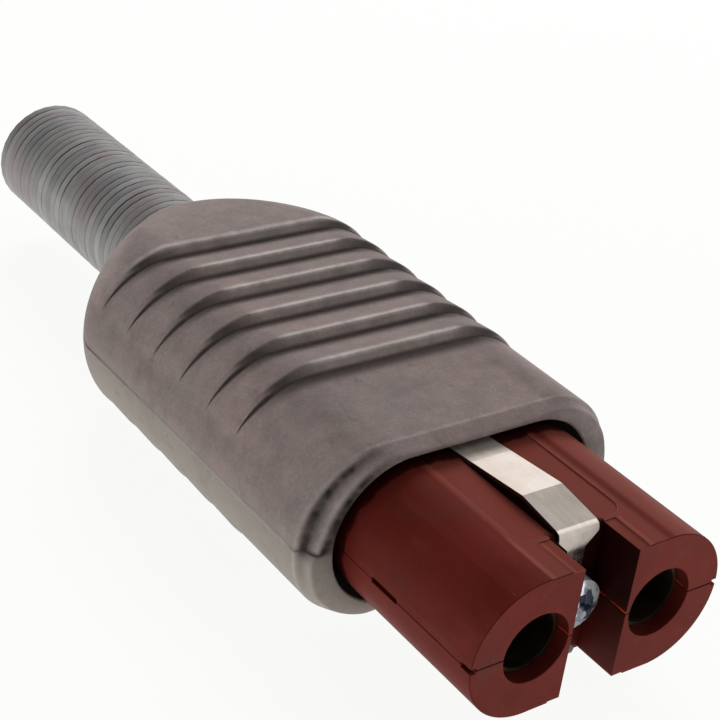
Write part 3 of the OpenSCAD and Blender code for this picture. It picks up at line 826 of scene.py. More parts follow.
@dataclass
class GripSleeve:
    """The silicone sleeve: lofted outline, ribs repeated along it, shoulder and neck."""

    half_w: float = 24.4
    half_h: float = 13.6
    corner: float = 0.2
    groove_depth: float = 1.5
    groove_end: float = 6.0
    rib_count: int = 6
    rib_pitch: float = 7.1
    rib_start: float = 19.8
    rib_step: float = 0.8
    rib_crown: float = 1.3
    foot_reach: float = 1.0001
    shoulder_len: float = 17.3
    shoulder_wide: Pair = (1.6, 0.9)
    shoulder_high: Pair = (3.0, 0.85)
    neck_len: float = 11.0
    neck_r: float = 10.5
    neck_bore: float = 9.3
    flare_bore: float = 10.5
    flare_y: float = 55.5
    pin_half: float = 9.5
    lobe_r: float = 9.5
    flat_z: float = 9.47
    sleeve_fit: float = 0.25
    mouth_gap: float = 1.0
    mouth_depth: float = 3.5
    rim_bevel: float = 0.18
    block_end: float = 40.0
    ring_points: int = 232
    seam_half: float = 0.16
    seam_rise: float = 0.08
    # Dirt and painted shade in the valley before each foot; painted shade on the faces on the flanks.
    valley_reach: float = 2.6
    valley_soil_and_shade: float = 0.64
    # Painted light on the rising faces; the highlights on the crests fade out past the flat top.
    face_light: float = 0.35
    face_shade: float = 0.75
    wear_and_light_end: Pair = (12.8, 10.4)
    flank_start: Pair = (12.0, 17.0)
    rim: tuple[RimRow, ...] = RIM
    front_start: float = 3.6
    front_rings: int = 18
    before_foot: tuple[float, ...] = (2.6, 2.0, 1.6, 1.2, 0.9, 0.6)
    foot_shares: tuple[float, ...] = (-0.42, -0.3, -0.2, -0.1)
    back_shares: tuple[float, ...] = (0.03, 0.07, 0.12, 0.18, 0.26, 0.36, 0.46, 0.56, 0.64, 0.71, 0.78, 0.84,
                                      0.9, 0.95)
    worn_line: Curve = ((2.0, 4.0, 26.0, 40.0), (0.0, 0.3, 0.25, 0.0))
    dark_line: Curve = ((0.0, 2.0, 4.0, 40.0, 54.0), (1.0, 0.8, 0.08, 0.14, 1.0))
    # Scuffing with a painted highlight on the last crest.
    last_wear_and_light: Curve = ((-0.3, 0.0, 0.5, 1.2, 8.0, 14.0), (0.0, 0.8, 0.7, 0.1, 0.1, 0.0))
    channel_rise: Curve = ((-0.3, -0.03, 0.01, 0.12), (0.0, 0.22, 0.7, 1.0))

    @property
    def last_crest(self) -> float:
        """Distance of the last rib's crest from the mouth."""
        return self.rib_start + (self.rib_count - 1) * self.rib_pitch

    @property
    def length(self) -> float:
        """Length of the sleeve."""
        return self.last_crest + self.shoulder_len

    @property
    def rim_wall(self) -> float:
        """Wall at the mouth, above and below."""
        return self.half_h - self.groove_depth - self.flat_z - self.mouth_gap

    def angles(self) -> np.ndarray:
        """Directions round a ring, closer together beside the moulding line.

        Returns:
            Angles in radians.
        """
        even = np.linspace(0.0, 2.0 * math.pi, self.ring_points, endpoint=False)
        near = np.array([-2.2, -1.0, 1.0, 2.2]) * self.seam_half / self.half_w
        extra = np.concatenate([near % (2.0 * math.pi), math.pi + near])
        return np.sort(np.concatenate([even, extra]))[::-1]

    @staticmethod
    def flat_round(centre: float, radius: float, flat: float, angles: np.ndarray) -> np.ndarray:
        """Reach of a round-ended, flat-topped outline in each direction.

        Args:
            centre: Distance of the end rounds' centres from the axis.
            radius: Radius of the end rounds.
            flat: Half height of the flats.
            angles: Directions, in radians.

        Returns:
            Distances from the axis.
        """
        sine = np.maximum(np.abs(np.sin(angles)), 1e-6)
        cosine = np.abs(np.cos(angles))
        level = flat / sine
        arc = centre * cosine + np.sqrt(np.maximum(0.0, radius ** 2 - (centre * sine) ** 2))
        return np.where(level * cosine <= centre, level, np.minimum(level, arc))

    def crest(self, angles: np.ndarray) -> np.ndarray:
        """Reach of the rib crests."""
        radius = self.half_h + self.corner
        return self.flat_round(self.half_w - radius, radius, self.half_h, angles)

    def valley(self, angles: np.ndarray) -> np.ndarray:
        """Reach of the grooves, which run out on the flanks.

        Args:
            angles: Directions round a ring.

        Returns:
            Distances from the axis.
        """
        crest_r = self.half_h + self.corner
        end_x = self.half_w - crest_r + math.sqrt(crest_r ** 2 - self.groove_end ** 2)
        flat = self.half_h - self.groove_depth
        radius = flat + self.corner
        centre = end_x - math.sqrt(radius ** 2 - self.groove_end ** 2)
        return np.minimum(self.crest(angles), self.flat_round(centre, radius, flat, angles))

    def flank(self, angles: np.ndarray) -> np.ndarray:
        """1 on the flanks, where the grooves have run out, and 0 on the flat top and bottom."""
        return 1.0 - np.clip((self.crest(angles) - self.valley(angles)) / self.groove_depth, 0.0, 1.0)

    def channel_share(self, angles: np.ndarray) -> np.ndarray:
        """How far the rim's channel shows: fully on the left flank's upper half, as a trace elsewhere."""
        upper = np.interp(np.sin(angles), *self.channel_rise)
        return self.flank(angles) * upper * np.where(np.cos(angles) < 0.0, 1.0, 0.12)

    def shoulder(self, share: float, angles: np.ndarray) -> np.ndarray:
        """Reach of the shoulder, from the last crest (0) to the neck's lip (1).

        Args:
            share: Place along the shoulder, from 0 to 1.
            angles: Directions round a ring.

        Returns:
            Distances from the axis.
        """
        (wide_in, wide_out), (high_in, high_out) = self.shoulder_wide, self.shoulder_high
        width = self.neck_r + (self.half_w - self.neck_r) * (1.0 - share ** wide_in) ** wide_out
        height = self.neck_r + (self.half_h - self.neck_r) * (1.0 - share ** high_in) ** high_out
        radius = min(height + self.corner * (1.0 - share), width)
        return self.flat_round(width - radius, radius, height, angles)

    def outer_rings(self, angles: np.ndarray) -> list[Ring]:
        """Stations along the outside: rim, plain front, ribs, shoulder and lip.

        Args:
            angles: Directions round a ring.

        Returns:
            Pairs of a place along the plug and the reach there.
        """
        ridge = self.seam_rise * np.exp(-(self.half_w * np.sin(angles) / self.seam_half) ** 2)
        crest = self.crest(angles) + ridge
        share = self.channel_share(angles)
        rings = [(row.above_y + (row.beside_y - row.above_y) * share,
                  crest - row.above_in - (row.beside_in - row.above_in) * share) for row in self.rim]
        foot = self.rib_start - self.rib_step
        front = np.linspace(self.front_start, foot - self.before_foot[0], self.front_rings)
        places = [*front, *(foot - way for way in self.before_foot[1:])]
        rise = [(share - 1.0) * self.rib_step for share in (*self.foot_shares, *np.linspace(0.0, 1.0, 11))]
        back = self.rib_pitch - self.rib_step * (1.0 - self.foot_shares[0])
        for k in range(self.rib_count):
            top = self.rib_start + k * self.rib_pitch
            places += [top + way for way in rise]
            if k < self.rib_count - 1:
                places += [top + back * share for share in self.back_shares]
        rings += [(y, crest) for y in places]
        rings += [(self.last_crest + self.shoulder_len * s, self.shoulder(s, angles))
                  for s in 1.0 - (1.0 - np.linspace(0.02, 0.985, 44)) ** 1.15]
        return rings

    def inner_rings(self, angles: np.ndarray) -> list[Ring]:
        """Stations along the inside, from the lip back to the mouth.

        Args:
            angles: Directions round a ring.

        Returns:
            Pairs of a place along the plug and the reach there.
        """
        def block(grow: float) -> np.ndarray:
            """Reach of the block's section, grown by a clearance."""
            return self.flat_round(self.pin_half, self.lobe_r + grow, self.flat_z + grow, angles)
        ones = np.ones_like(angles)
        step = self.length - self.neck_len
        bevel = self.rim_bevel * self.rim_wall
        return [
            (self.length, ones * (self.neck_r - 0.35)), (self.length, ones * (self.neck_bore + 0.1)),
            (self.length - 0.3, ones * self.neck_bore),
            (step, ones * self.neck_bore), (step - 0.01, ones * self.flare_bore),
            (self.flare_y, ones * self.flare_bore), (self.block_end + 0.02, block(self.sleeve_fit)),
            (self.mouth_depth + self.mouth_gap, block(self.sleeve_fit)),
            (self.mouth_depth, block(self.mouth_gap)), (bevel + 0.3, block(self.mouth_gap)),
            (bevel, block(self.mouth_gap + 0.02)), (bevel * 0.55, block(self.mouth_gap + 0.3 * bevel)),
            (bevel * 0.2, block(self.mouth_gap + 0.7 * bevel)), (0.0, block(self.mouth_gap + bevel)),
        ]

    def marks(self, plug: np.ndarray, angles: np.ndarray, outer: int) -> dict[str, np.ndarray]:
        """Moulding line, dirt, scuffing, painted light and painted shade of the loft, before its ribs.

        Args:
            plug: The loft's points in millimetres, ring after ring.
            angles: Directions round a ring.
            outer: Number of rings on the outside.

        Returns:
            A number from 0 to 1 for each point, by the mark's name.
        """
        points = len(angles)
        count = len(plug) // points
        along = plug[:, 1]
        outside = np.repeat(np.arange(count) < outer, points)
        flank = np.tile(self.channel_share(angles), count)
        seam = np.exp(-(plug[:, 2] / self.seam_half) ** 2)
        line = seam * np.interp(along, *self.dark_line)
        rim = np.zeros((count, 3))
        rim[:len(self.rim)] = [(row.above_wear_and_light, row.beside_wear_and_light, row.beside_soil_and_shade) for row in self.rim]
        above_wear_and_light, beside_wear_and_light, beside_soil_and_shade = np.repeat(rim, points, axis=0).T
        turned = np.tile(angles, count)
        waver = 0.9 + 0.1 * np.sin(41.0 * turned) + 0.08 * np.sin(97.0 * turned + 3.0 * along)
        # Painted shade with dirt in the rim's channel, mostly on the upper left flank.
        soil_and_shade = beside_soil_and_shade * np.minimum(1.0, 1.6 * flank) * waver
        soil_and_shade = np.maximum(soil_and_shade, line * np.interp(along, (1.9, 2.3), (0.95, 0.0)))
        # Painted shade with dirt inside the mouth.
        inside = np.maximum(np.interp(along, (0.1, 0.6), (0.0, 0.9)), 0.9 * flank)
        # Scuffing with painted light on the rim, a light line on the seam, and a painted highlight on the last
        # crest.
        wear_and_light = np.maximum(above_wear_and_light + (beside_wear_and_light - above_wear_and_light) * flank, seam * np.interp(along, *self.worn_line))
        last = np.interp(along - self.last_crest, *self.last_wear_and_light)
        depth = self.crest(angles) - self.valley(angles)
        wear_and_light = np.maximum(wear_and_light, last * np.tile(depth / self.groove_depth, count))
        soil_and_shade = np.where(outside, soil_and_shade, inside)
        return {"mould_line": line * outside, "rim_soil_and_shade": soil_and_shade, "rim_wear_and_light": wear_and_light * outside}

    def base_mesh(self) -> bpy.types.Mesh:
        """The loft before its ribs, with each point's groove and marks stored on it.

        Returns:
            The new mesh.
        """
        angles = self.angles()
        outer = self.outer_rings(angles)
        rings = outer + self.inner_rings(angles)
        count, points = len(rings), len(angles)
        around = np.stack([np.cos(angles), np.zeros(points), np.sin(angles)], axis=1)
        axis = np.array([0.0, 1.0, 0.0])
        plug = np.concatenate([reach[:, None] * around + np.outer(y * np.ones(points), axis) for y, reach in rings])
        here = np.arange(count * points).reshape(count, points)
        ahead = np.roll(here, -1, axis=0)
        faces = np.stack([here, np.roll(here, -1, axis=1), np.roll(ahead, -1, axis=1), ahead], axis=-1)
        mesh = bpy.data.meshes.new("grip_sleeve_loft")
        mesh.from_pydata(PLACING.points(plug).tolist(), [], faces.reshape(-1, 4).tolist())
        depth = self.crest(angles) - self.valley(angles)
        ribbed = np.array([float(k < len(outer) and np.max(y) <= self.last_crest)
                           for k, (y, _) in enumerate(rings)])
        groove = (ribbed[:, None, None] * (depth[:, None] * around)[None]).reshape(-1, 3) * MM
        store = mesh.attributes.new("groove", "FLOAT_VECTOR", "POINT")
        store.data.foreach_set("vector", groove.ravel())
        for name, values in self.marks(plug, angles, len(outer)).items():
            mark = mesh.attributes.new(name, "FLOAT", "POINT")
            mark.data.foreach_set("value", values)
        return mesh

    def wear_and_light(self, tree: ShapeTree, rib: RibPlace) -> Flow:
        """Scuffing with a painted highlight on the crests' edges, and painted light on the rising faces, on the
        flat top only.

        Args:
            tree: The tree that the nodes are added to.
            rib: Where each point lies on the ribs.

        Returns:
            An output from 0 to 1.
        """
        past, step = rib.past, rib.step
        edge = tree.smooth(past, step * -0.45, step * -0.05) * tree.smooth(past, step * 1.55, step * 0.45)
        face = tree.smooth(past, step * -0.78, step * -0.6) * (past < 0.0) * self.face_light
        on_top = tree.smooth(rib.across, *(x * MM for x in self.wear_and_light_end))
        return tree.most(edge, face) * (rib.deep * on_top)

    def soil_and_shade(self, tree: ShapeTree, rib: RibPlace) -> Flow:
        """Dirt and painted shade in the grooves: a line and a slit at each foot and the valley before it, and
        painted shade on the faces on the flanks.

        Args:
            tree: The tree that the nodes are added to.
            rib: Where each point lies on the ribs.

        Returns:
            An output from 0 to 1.
        """
        past, step, deep = rib.past, rib.step, rib.deep
        shallow = 1.0 - deep
        taper = tree.smooth(deep, 0.0, 0.42)
        fade = shallow * 0.25 + 0.75
        foot = step * -self.foot_reach
        on_rise, before = past > foot, past < foot
        reach_up = taper * 0.2 - 0.82 + shallow * taper * 0.42
        line = tree.smooth(past, step * reach_up, step * -0.9) * fade * on_rise
        way = (-past - step) * before + (rib.pitch - step - past) * (1.0 - before)
        valley_reach = tree.size("Valley Reach", self.valley_reach * MM)
        valley = tree.smooth(way, valley_reach, valley_reach * 0.28) * (tree.smooth(deep, 0.0, 0.8) * self.valley_soil_and_shade)
        slit_reach = (shallow * 1.2 + 0.42) * (taper * 0.85 + 0.15)
        slit_full = (shallow * 0.5 + 0.05) * taper
        slit = tree.smooth(way, step * slit_reach, step * slit_full) * fade
        on_flank = tree.smooth(rib.across, *(x * MM for x in self.flank_start)) * tree.smooth(deep, 0.33, 0.55)
        face = tree.smooth(past, step * 0.1, step * -0.3) * on_rise * on_flank * self.face_shade
        return tree.most(line, slit, valley, face) * tree.smooth(deep, 0.0, 0.06)

    def rib_tree(self, finish: bpy.types.Material) -> ShapeTree:
        """The tree that presses the grooves between the ribs, and marks their edges with scuffing and painted light
        and their feet with dirt and painted shade.

        Args:
            finish: The material that the tree sets.

        Returns:
            The tree, ready to run on the base mesh.
        """
        tree = ShapeTree("sleeve_ribs")
        first = tree.size("First Crest", (self.rib_start - PLACING.mid_y) * MM)
        pitch = tree.size("Rib Pitch", self.rib_pitch * MM)
        step = tree.size("Rib Step", self.rib_step * MM)
        crown = tree.size("Rib Crown", self.rib_crown)
        last = tree.size("Last Rib", self.rib_count - 1)
        depth = tree.size("Groove Depth", self.groove_depth * MM)
        x, y, _ = tree.place()
        behind = y - first
        number = tree.clamp(tree.math("FLOOR", (behind + step * self.foot_reach) / pitch), 0.0, last)
        past = behind - number * pitch
        ramp = tree.clamp(past / step + 1.0, 0.0, 1.0)
        rise = ramp * 0.55 + tree.smooth(past, -step, 0.0) * 0.45
        slope = tree.most(past, 0.0) / (pitch - step)
        level = rise - tree.math("POWER", tree.math("MINIMUM", slope, 1.0), crown)
        groove = tree.stored("groove", "FLOAT_VECTOR")
        press = tree.step("ShaderNodeVectorMath", {0: groove, "Scale": level - 1.0}, operation="SCALE")
        length = tree.add("ShaderNodeVectorMath", operation="LENGTH")
        tree.feed(length.inputs[0], groove)
        deep = tree.math("MINIMUM", Flow(tree, length.outputs["Value"]) / depth, 1.0)
        rib = RibPlace(past, step, pitch, deep, abs(x))
        geometry = Flow(tree, tree.start.outputs["Geometry"])
        for name, value, rim in (("edge_wear_and_light", self.wear_and_light(tree, rib), "rim_wear_and_light"),
                                 ("groove_soil_and_shade", self.soil_and_shade(tree, rib), "rim_soil_and_shade")):
            geometry = tree.store(geometry, name, tree.most(value, tree.stored(rim)))
        tree.close(tree.step("GeometryNodeSetPosition", {"Geometry": geometry, "Offset": press}), finish)
        return tree

    def build(self) -> bpy.types.Object:
        """Makes the sleeve and puts it in the CAD sleeve's place.

        Returns:
            The sleeve.
        """
        finish = SiliconeFinish().material()
        piece = self.rib_tree(finish).bake("sleeve", self.base_mesh())
        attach(piece, BODY)
        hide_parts("grip_sleeve")
        return piece


@dataclass
class CordGuard:
    """The close-wound wire spring at the cord's entry."""

    radius: float = 9.1
    wire: float = 1.5
    wire_edge: float = 0.06
    turn: float = 1.55
    flare: float = 1.2
    flare_turns: Pair = (2.0, 1.5)
    start: float = 57.73
    end: float = 118.2
    steps_per_turn: int = 30
    wave: float = 0.16
    wave_rate: float = 0.6
    sway: float = 0.04
    sway_rate: float = 0.8
    sway_start: float = 71.3
    wire_end: float = -45.0

    @property
    def turns(self) -> float:
        """Number of turns of the wire."""
        return (self.end - self.wire / 2 - self.start) / self.turn

    def coil_tree(self, finish: bpy.types.Material) -> ShapeTree:
        """The tree that winds the wire round the cord's axis.

        Args:
            finish: The material that the tree sets.

        Returns:
            The tree, ready to run.
        """
        tree = ShapeTree("cord_guard_coil")
        turns = tree.size("Turns", self.turns)
        pitch = tree.size("Turn Pitch", self.turn * MM)
        coil = tree.size("Coil Radius", (self.radius - self.wire / 2) * MM)
        flare = tree.size("Flare", self.flare * MM)
        wire = tree.size("Wire", self.wire * MM)
        wave = tree.size("Pitch Wave", self.wave * MM)
        sway = tree.size("Radius Sway", self.sway * MM)
        steps = tree.size("Points", int(self.turns * self.steps_per_turn))
        line = tree.step("GeometryNodeCurvePrimitiveLine")
        points = tree.step("GeometryNodeResampleCurve", {"Curve": line, "Count": steps})
        turn = Flow(tree, tree.add("GeometryNodeSplineParameter").outputs["Factor"]) * turns
        angle = (turns - turn) * (2.0 * math.pi) - math.radians(self.wire_end)
        drift = tree.wander(turn, self.wave_rate) - 0.5
        lean = tree.wander(turn + self.sway_start, self.sway_rate) - 0.5
        out = coil + flare * tree.smooth(turn, *self.flare_turns) + sway * (lean * 2.0)
        spot = tree.step("ShaderNodeCombineXYZ", {
            0: out * tree.math("COSINE", angle), 1: out * tree.math("SINE", angle),
            2: turn * pitch + wave * (drift * 2.0)})
        wound = tree.step("GeometryNodeSetPosition", {"Geometry": points, "Position": spot})
        marked = tree.store(wound, "turn", turn)
        upright = tree.step("GeometryNodeSetCurveNormal", {"Curve": marked}, mode="Z_UP")
        section = tree.step("GeometryNodeCurvePrimitiveQuadrilateral", {"Width": wire, "Height": wire})
        corners = {"Curve": section, "Radius": wire * self.wire_edge, "Count": 3}
        rounded = tree.step("GeometryNodeFilletCurve", corners, mode="POLY")
        _, across, _ = tree.place()
        profile = tree.store(rounded, "across", across / wire)
        swept = tree.step("GeometryNodeCurveToMesh",
                          {"Curve": upright, "Profile Curve": profile, "Fill Caps": True})
        laid = tree.step("GeometryNodeTransform", {
            "Geometry": swept, "Rotation": (-math.pi / 2, 0.0, 0.0),
            "Translation": PLACING.point(0.0, self.start, 0.0)})
        tree.close(laid, finish)
        return tree

    def build(self) -> bpy.types.Object:
        """Makes the spring and puts it in the CAD spring's place.

        Returns:
            The spring.
        """
        finish = SpringFinish().material()
        piece = self.coil_tree(finish).bake("cord_guard", bpy.data.meshes.new("cord_guard_start"))
        outward(piece.data)
        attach(piece, BODY)
        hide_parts("cable_spring")
        return piece


def outward(mesh: bpy.types.Mesh) -> None:
    """Turns a closed mesh's faces outwards.

    Args:
        mesh: The mesh to change.
    """
    work = bmesh.new()
    work.from_mesh(mesh)
    bmesh.ops.recalc_face_normals(work, faces=work.faces)
    work.to_mesh(mesh)
    work.free()


@dataclass
class MetalParts:
    """The CAD nodes that keep their shape, and the finish that each one gets."""

    nickel: MetalFinish = MetalFinish("nickel_strip", linear(226, 214, 204), linear(206, 192, 180), (0.14, 0.24),
                                      soil_and_shade=StripShadeAndDull())
    zinc: MetalFinish = MetalFinish("zinc_screw", linear(240, 244, 250), linear(30, 48, 78), (0.14, 0.26),
                                    lines=Grain(1400.0), stains=Grain(420.0, 4.0), stain_range=(0.5, 0.58, 0.9),
                                    metal=0.6)
    # The contacts' metal is darkened as painted shade, so they read dark deep in their holes.
    shade_darkened_brass: MetalFinish = MetalFinish("turned_brass", linear(106, 92, 70), linear(58, 48, 38), (0.34, 0.5),
                                     lines=Grain(900.0, stretch=(0.2, 1.0, 0.2)))
    steel: MetalFinish = MetalFinish("plated_steel", linear(190, 191, 194), linear(140, 141, 144), (0.26, 0.4),
                                     lines=Grain(900.0, stretch=(1.0, 1.0, 0.1)))
    pressed: MetalFinish = MetalFinish("pressed_steel", linear(184, 185, 188), linear(150, 151, 153), (0.3, 0.45))

    def dress(self) -> None:
        """Gives each node its finish."""
        wearers = (
            (self.nickel, ("earth_spring",)), (self.zinc, ("earth_screw",)),
            (self.shade_darkened_brass, ("left_contact", "right_contact", "earth_terminal")),
            (self.steel, ("left_terminal_screw", "right_terminal_screw", "earth_terminal_screw", "joining_screw",
                          "joining_nut", "clamp_screws")),
            (self.pressed, ("cord_clamp",)),
        )
        for finish, names in wearers:
            material = finish.material()
            for name in names:
                paint(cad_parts[name], material)
                LOG.info("dressed %s", name)


def paint(piece: bpy.types.Object, finish: bpy.types.Material) -> None:
    """Puts one finish in every material slot of a piece."""
    if not piece.material_slots:
        piece.data.materials.append(finish)
    for place in piece.material_slots:
        place.material = finish


class EdgeLook(Enum):
    """How an edge of the block looks: below 0 painted shade, above 0 scuffed with painted light, and past 1 painted
    light on walls in shade.
    """

    DARK = -0.5
    FAINT = 0.15
    LIGHT = 0.7
    BRIGHT = 1.5
    WALL = 1.6


@dataclass
class SocketBlock:
    """The two halves of the socket block, with the edges outside the sleeve rounded a little."""

    edge: float = 0.16
    outside: float = 1.0
    inside: float = 5.0
    top_z: float = 8.9
    wall_rise: float = 0.3
    face_y: float = -25.5
    face_depth: float = 0.3
    outline_x: float = 5.9
    ledge_x: float = 4.5
    hole_reach: float = 6.0
    pin_half: float = 9.5
    sharp: float = 28.0
    crease: float = 7.0
    weld: float = 2e-6
    flat_angle: float = 1.0
    facing: float = 0.4
    upright: float = 0.3

    def at_face(self, spot: Vector) -> bool:
        """Whether a point of the plug lies at the block's front face."""
        return spot.y <= self.face_y + self.face_depth

    def edge_look(self, spot: Vector, normal: Vector) -> EdgeLook:
        """How a rounded edge looks.

        Args:
            spot: Its place on the plug, in millimetres.
            normal: The way it faces.

        Returns:
            The edge's look.
        """
        from_hole = math.hypot(abs(spot.x) - self.pin_half, spot.z)
        if self.at_face(spot) and abs(spot.x) > self.outline_x and from_hole > self.hole_reach:
            return EdgeLook.DARK
        if spot.z < self.top_z:
            return EdgeLook.FAINT
        low_wall = (normal.x < -self.facing and spot.x > self.ledge_x) or normal.y < -self.facing
        return EdgeLook.BRIGHT if low_wall and not self.at_face(spot) else EdgeLook.LIGHT

    def shown(self, edge: bmesh.types.BMEdge) -> bool:
        """Whether an edge lies outside the sleeve, or on top and partly outside it.

        Args:
            edge: An edge of the block, in the row frame.

        Returns:
            True if the edge shows.
        """
        ends = [PLACING.plug(vert.co) for vert in edge.verts]
        along = [spot.y for spot in ends]
        on_top = min(abs(spot.z) for spot in ends) > self.top_z
        return max(along) < self.outside or (min(along) < self.outside - self.inside and on_top)

    def rounded(self, name: str) -> bpy.types.Mesh:
        """A copy of one half with its convex outer edges rounded.

        Args:
            name: The CAD node's name.

        Returns:
            The copy's mesh, in the row frame.
        """
        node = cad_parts[name]
        work = bmesh.new()
        work.from_mesh(node.data)
        work.transform(node.matrix_world)
        bmesh.ops.remove_doubles(work, verts=work.verts, dist=self.weld)
        flat = math.radians(self.flat_angle)
        bmesh.ops.dissolve_limit(work, angle_limit=flat, verts=work.verts, edges=work.edges)
        edges = [e for e in work.edges if e.is_manifold and e.is_convex
                 and e.calc_face_angle() > math.radians(self.sharp) and self.shown(e)]
        # Edge marks: scuffing, painted light and painted shade on the rounded edges.
        wear_and_light = work.faces.layers.float.new("edge_wear_and_light")
        made = bmesh.ops.bevel(work, geom=edges, offset=self.edge * MM, offset_type="OFFSET", segments=3,
                               profile=0.5, affect="EDGES", clamp_overlap=True)
        for face in made["faces"]:
            face[wear_and_light] = self.edge_look(PLACING.plug(face.calc_center_median()), face.normal).value
        # Painted light on the upright walls at the top, which sit in shade.
        for face in work.faces:
            spot = PLACING.plug(face.calc_center_median())
            upright = abs(face.normal.z) < self.upright
            if upright and spot.z > self.top_z + self.wall_rise and not self.at_face(spot):
                face[wear_and_light] = EdgeLook.WALL.value
        mesh = bpy.data.meshes.new(name + "_rounded")
        work.to_mesh(mesh)
        work.free()
        mesh.shade_smooth()
        mesh.set_sharp_from_angle(angle=math.radians(self.crease))
        return mesh

    def build(self) -> list[bpy.types.Object]:
        """Makes both halves and puts them in the CAD halves' place.

        Returns:
            The upper and the lower half.
        """
        finish = CompoundFinish().material()
        pieces = []
        for name, node in (("block_top", "upper_insulator"), ("block_bottom", "lower_insulator")):
            piece = piece_from(name, self.rounded(node))
            paint(piece, finish)
            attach(piece, BODY)
            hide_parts(node)
            pieces.append(piece)
        return pieces


@dataclass(frozen=True)
class Softbox:
    """A rectangular studio lamp aimed at the plug."""

    name: str
    place: tuple[float, float, float]
    width: float
    height: float
    radiance: float
    mirrored: bool = True
    aim: tuple[float, float, float] = (0.0, -0.02, 0.014)

    def hang(self) -> None:
        """Adds the lamp to the scene."""
        lamp = bpy.data.lights.new(self.name, "AREA")
        lamp.shape = "RECTANGLE"
        lamp.size, lamp.size_y = self.width, self.height
        lamp.energy = self.radiance * math.pi * self.width * self.height
        holder = bpy.data.objects.new(self.name, lamp)
        holder.location = self.place
        holder.visible_glossy = self.mirrored
        facing = Vector(self.aim) - Vector(self.place)
        holder.rotation_euler = facing.to_track_quat("-Z", "Y").to_euler()
        bpy.context.collection.objects.link(holder)


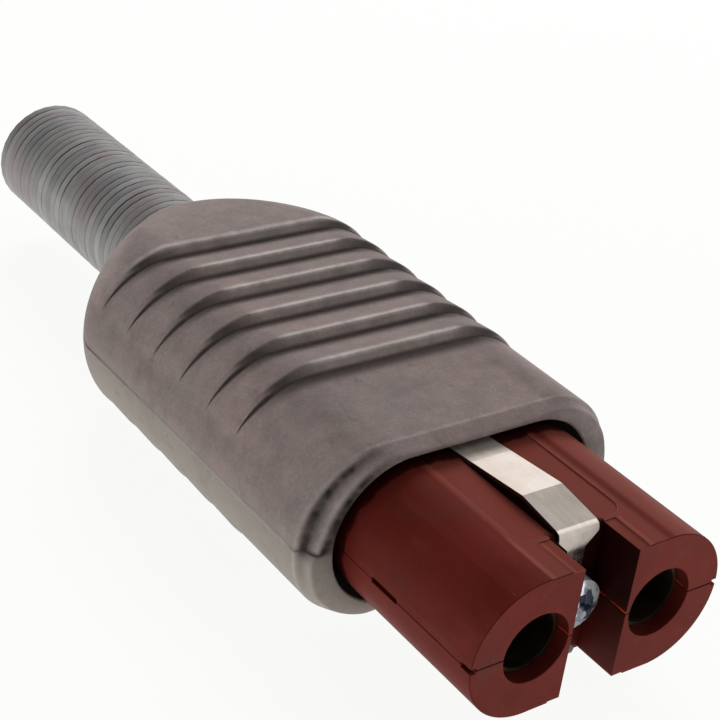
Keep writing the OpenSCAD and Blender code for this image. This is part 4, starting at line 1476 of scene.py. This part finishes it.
@dataclass
class Studio:
    """Camera, lamps, white surroundings and a pale floor."""

    azimuth: float = -38.233
    elevation: float = 29.291
    roll: float = 7.344
    focal_px: float = 1762.369
    image_px: float = 720.0
    sensor: float = 36.0
    clip: Pair = (0.01, 50.0)
    shift: tuple[float, float, float] = (12.601, 18.358, 222.199)
    fit_y: float = 1.2
    air: Colour = (0.985, 0.992, 0.982, 1.0)
    ambient: float = 0.2
    floor_size: float = 8.0
    floor_colour: Colour = (0.86, 0.865, 0.855, 1.0)
    floor_rough: float = 0.9
    glow_colour: Colour = (0.99, 1.0, 0.985, 1.0)
    floor_white: float = 0.93
    floor_bounce: float = 0.5
    table_glow: float = 2.9
    lamps: tuple[Softbox, ...] = (
        Softbox("overhead", (0.4, -0.35, 0.8), 1.1, 1.1, 0.9),
        Softbox("rear_right", (0.55, 0.8, 0.3), 1.2, 0.5, 1.05),
        Softbox("rear_key", (0.42, 0.66, 0.58), 0.6, 0.4, 10.0, mirrored=False),
        Softbox("right_high", (0.5, 0.42, 0.65), 0.6, 0.45, 0.34),
        Softbox("low_left", (-0.7, 0.15, 0.08), 0.9, 0.16, 1.6),
        Softbox("low_front", (0.4, -0.75, 0.15), 0.5, 0.3, 1.0),
    )

    def axes(self) -> tuple[Vector, Vector, Vector]:
        """The camera's right, up and backward directions.

        Returns:
            Three unit vectors.
        """
        a, e, r = (math.radians(v) for v in (self.azimuth, self.elevation, self.roll))
        back = Vector((math.sin(a) * math.cos(e), -math.cos(a) * math.cos(e), math.sin(e)))
        right = (-back).cross(Vector((0.0, 0.0, 1.0))).normalized()
        up = right.cross(-back)
        return (math.cos(r) * right + math.sin(r) * up, math.cos(r) * up - math.sin(r) * right, back)

    def add_camera(self) -> None:
        """Adds the camera at the photograph's place."""
        right, up, back = self.axes()
        x, y, z = self.shift
        centre = -(x * right - y * up - z * back)
        data = bpy.data.cameras.new("view")
        data.sensor_fit = "HORIZONTAL"
        data.sensor_width = self.sensor
        data.lens = self.focal_px * self.sensor / self.image_px
        data.clip_start, data.clip_end = self.clip
        camera = bpy.data.objects.new("view", data)
        spot = PLACING.point(centre.x, centre.y + self.fit_y, centre.z)
        camera.matrix_world = Matrix((
            (right.x, up.x, back.x, spot.x),
            (right.y, up.y, back.y, spot.y),
            (right.z, up.z, back.z, spot.z),
            (0.0, 0.0, 0.0, 1.0),
        ))
        bpy.context.collection.objects.link(camera)
        bpy.context.scene.camera = camera

    @staticmethod
    def rays(sheet: Sheet, *kinds: str) -> Flow:
        """1 for light paths of the named kinds, else 0."""
        path = sheet.add("ShaderNodeLightPath")
        return sheet.most(*(Flow(sheet, path.outputs[f"Is {kind} Ray"]) for kind in kinds))

    def add_world(self) -> None:
        """Adds white surroundings that light the plug only dimly."""
        world = bpy.data.worlds.new("studio")
        world.use_nodes = True
        sheet = Sheet(world.node_tree)
        glow = next(n for n in world.node_tree.nodes if n.type == "BACKGROUND")
        sheet.feed(glow.inputs["Color"], self.air)
        sheet.feed(glow.inputs["Strength"], self.rays(sheet, "Camera") * (1.0 - self.ambient) + self.ambient)
        bpy.context.scene.world = world

    def add_floor(self) -> None:
        """Adds the pale floor, which shows white and keeps a soft shadow."""
        half = self.floor_size / 2
        mesh = bpy.data.meshes.new("floor")
        corners = [(-half, -half, 0.0), (half, -half, 0.0), (half, half, 0.0), (-half, half, 0.0)]
        mesh.from_pydata(corners, [], [(0, 1, 2, 3)])
        floor = piece_from("floor", mesh)
        sheet = FinishSheet("floor_white")
        sheet.set(Base_Color=self.floor_colour, Roughness=self.floor_rough, Specular_IOR_Level=0.0)
        seen = self.rays(sheet, "Camera", "Transmission", "Glossy")
        strength = seen * (1.0 - self.table_glow) + self.table_glow
        glow = sheet.step("ShaderNodeEmission", {"Color": self.glow_colour, "Strength": strength})
        share = seen * (self.floor_white - self.floor_bounce) + self.floor_bounce
        mix = sheet.step("ShaderNodeMixShader", {0: share, 1: Flow(sheet, sheet.shader.outputs[0]), 2: glow})
        output = next(n for n in sheet.tree.nodes if n.type == "OUTPUT_MATERIAL")
        sheet.feed(output.inputs["Surface"], mix)
        mesh.materials.append(sheet.material)

    def build(self) -> None:
        """Adds everything round the plug."""
        bpy.context.scene.view_settings.view_transform = "Standard"
        self.add_camera()
        self.add_world()
        self.add_floor()
        for lamp in self.lamps:
            lamp.hang()


def main() -> None:
    """Builds the plug's pieces in order and reports each one."""
    logging.basicConfig(level=logging.INFO, format="%(name)s: %(message)s")
    Studio().build()
    for piece in (GripSleeve().build(), CordGuard().build(), *SocketBlock().build()):
        LOG.info("built %s: %d faces", piece.name, len(piece.data.polygons))
    MetalParts().dress()


if __name__ == "__main__":
    main()
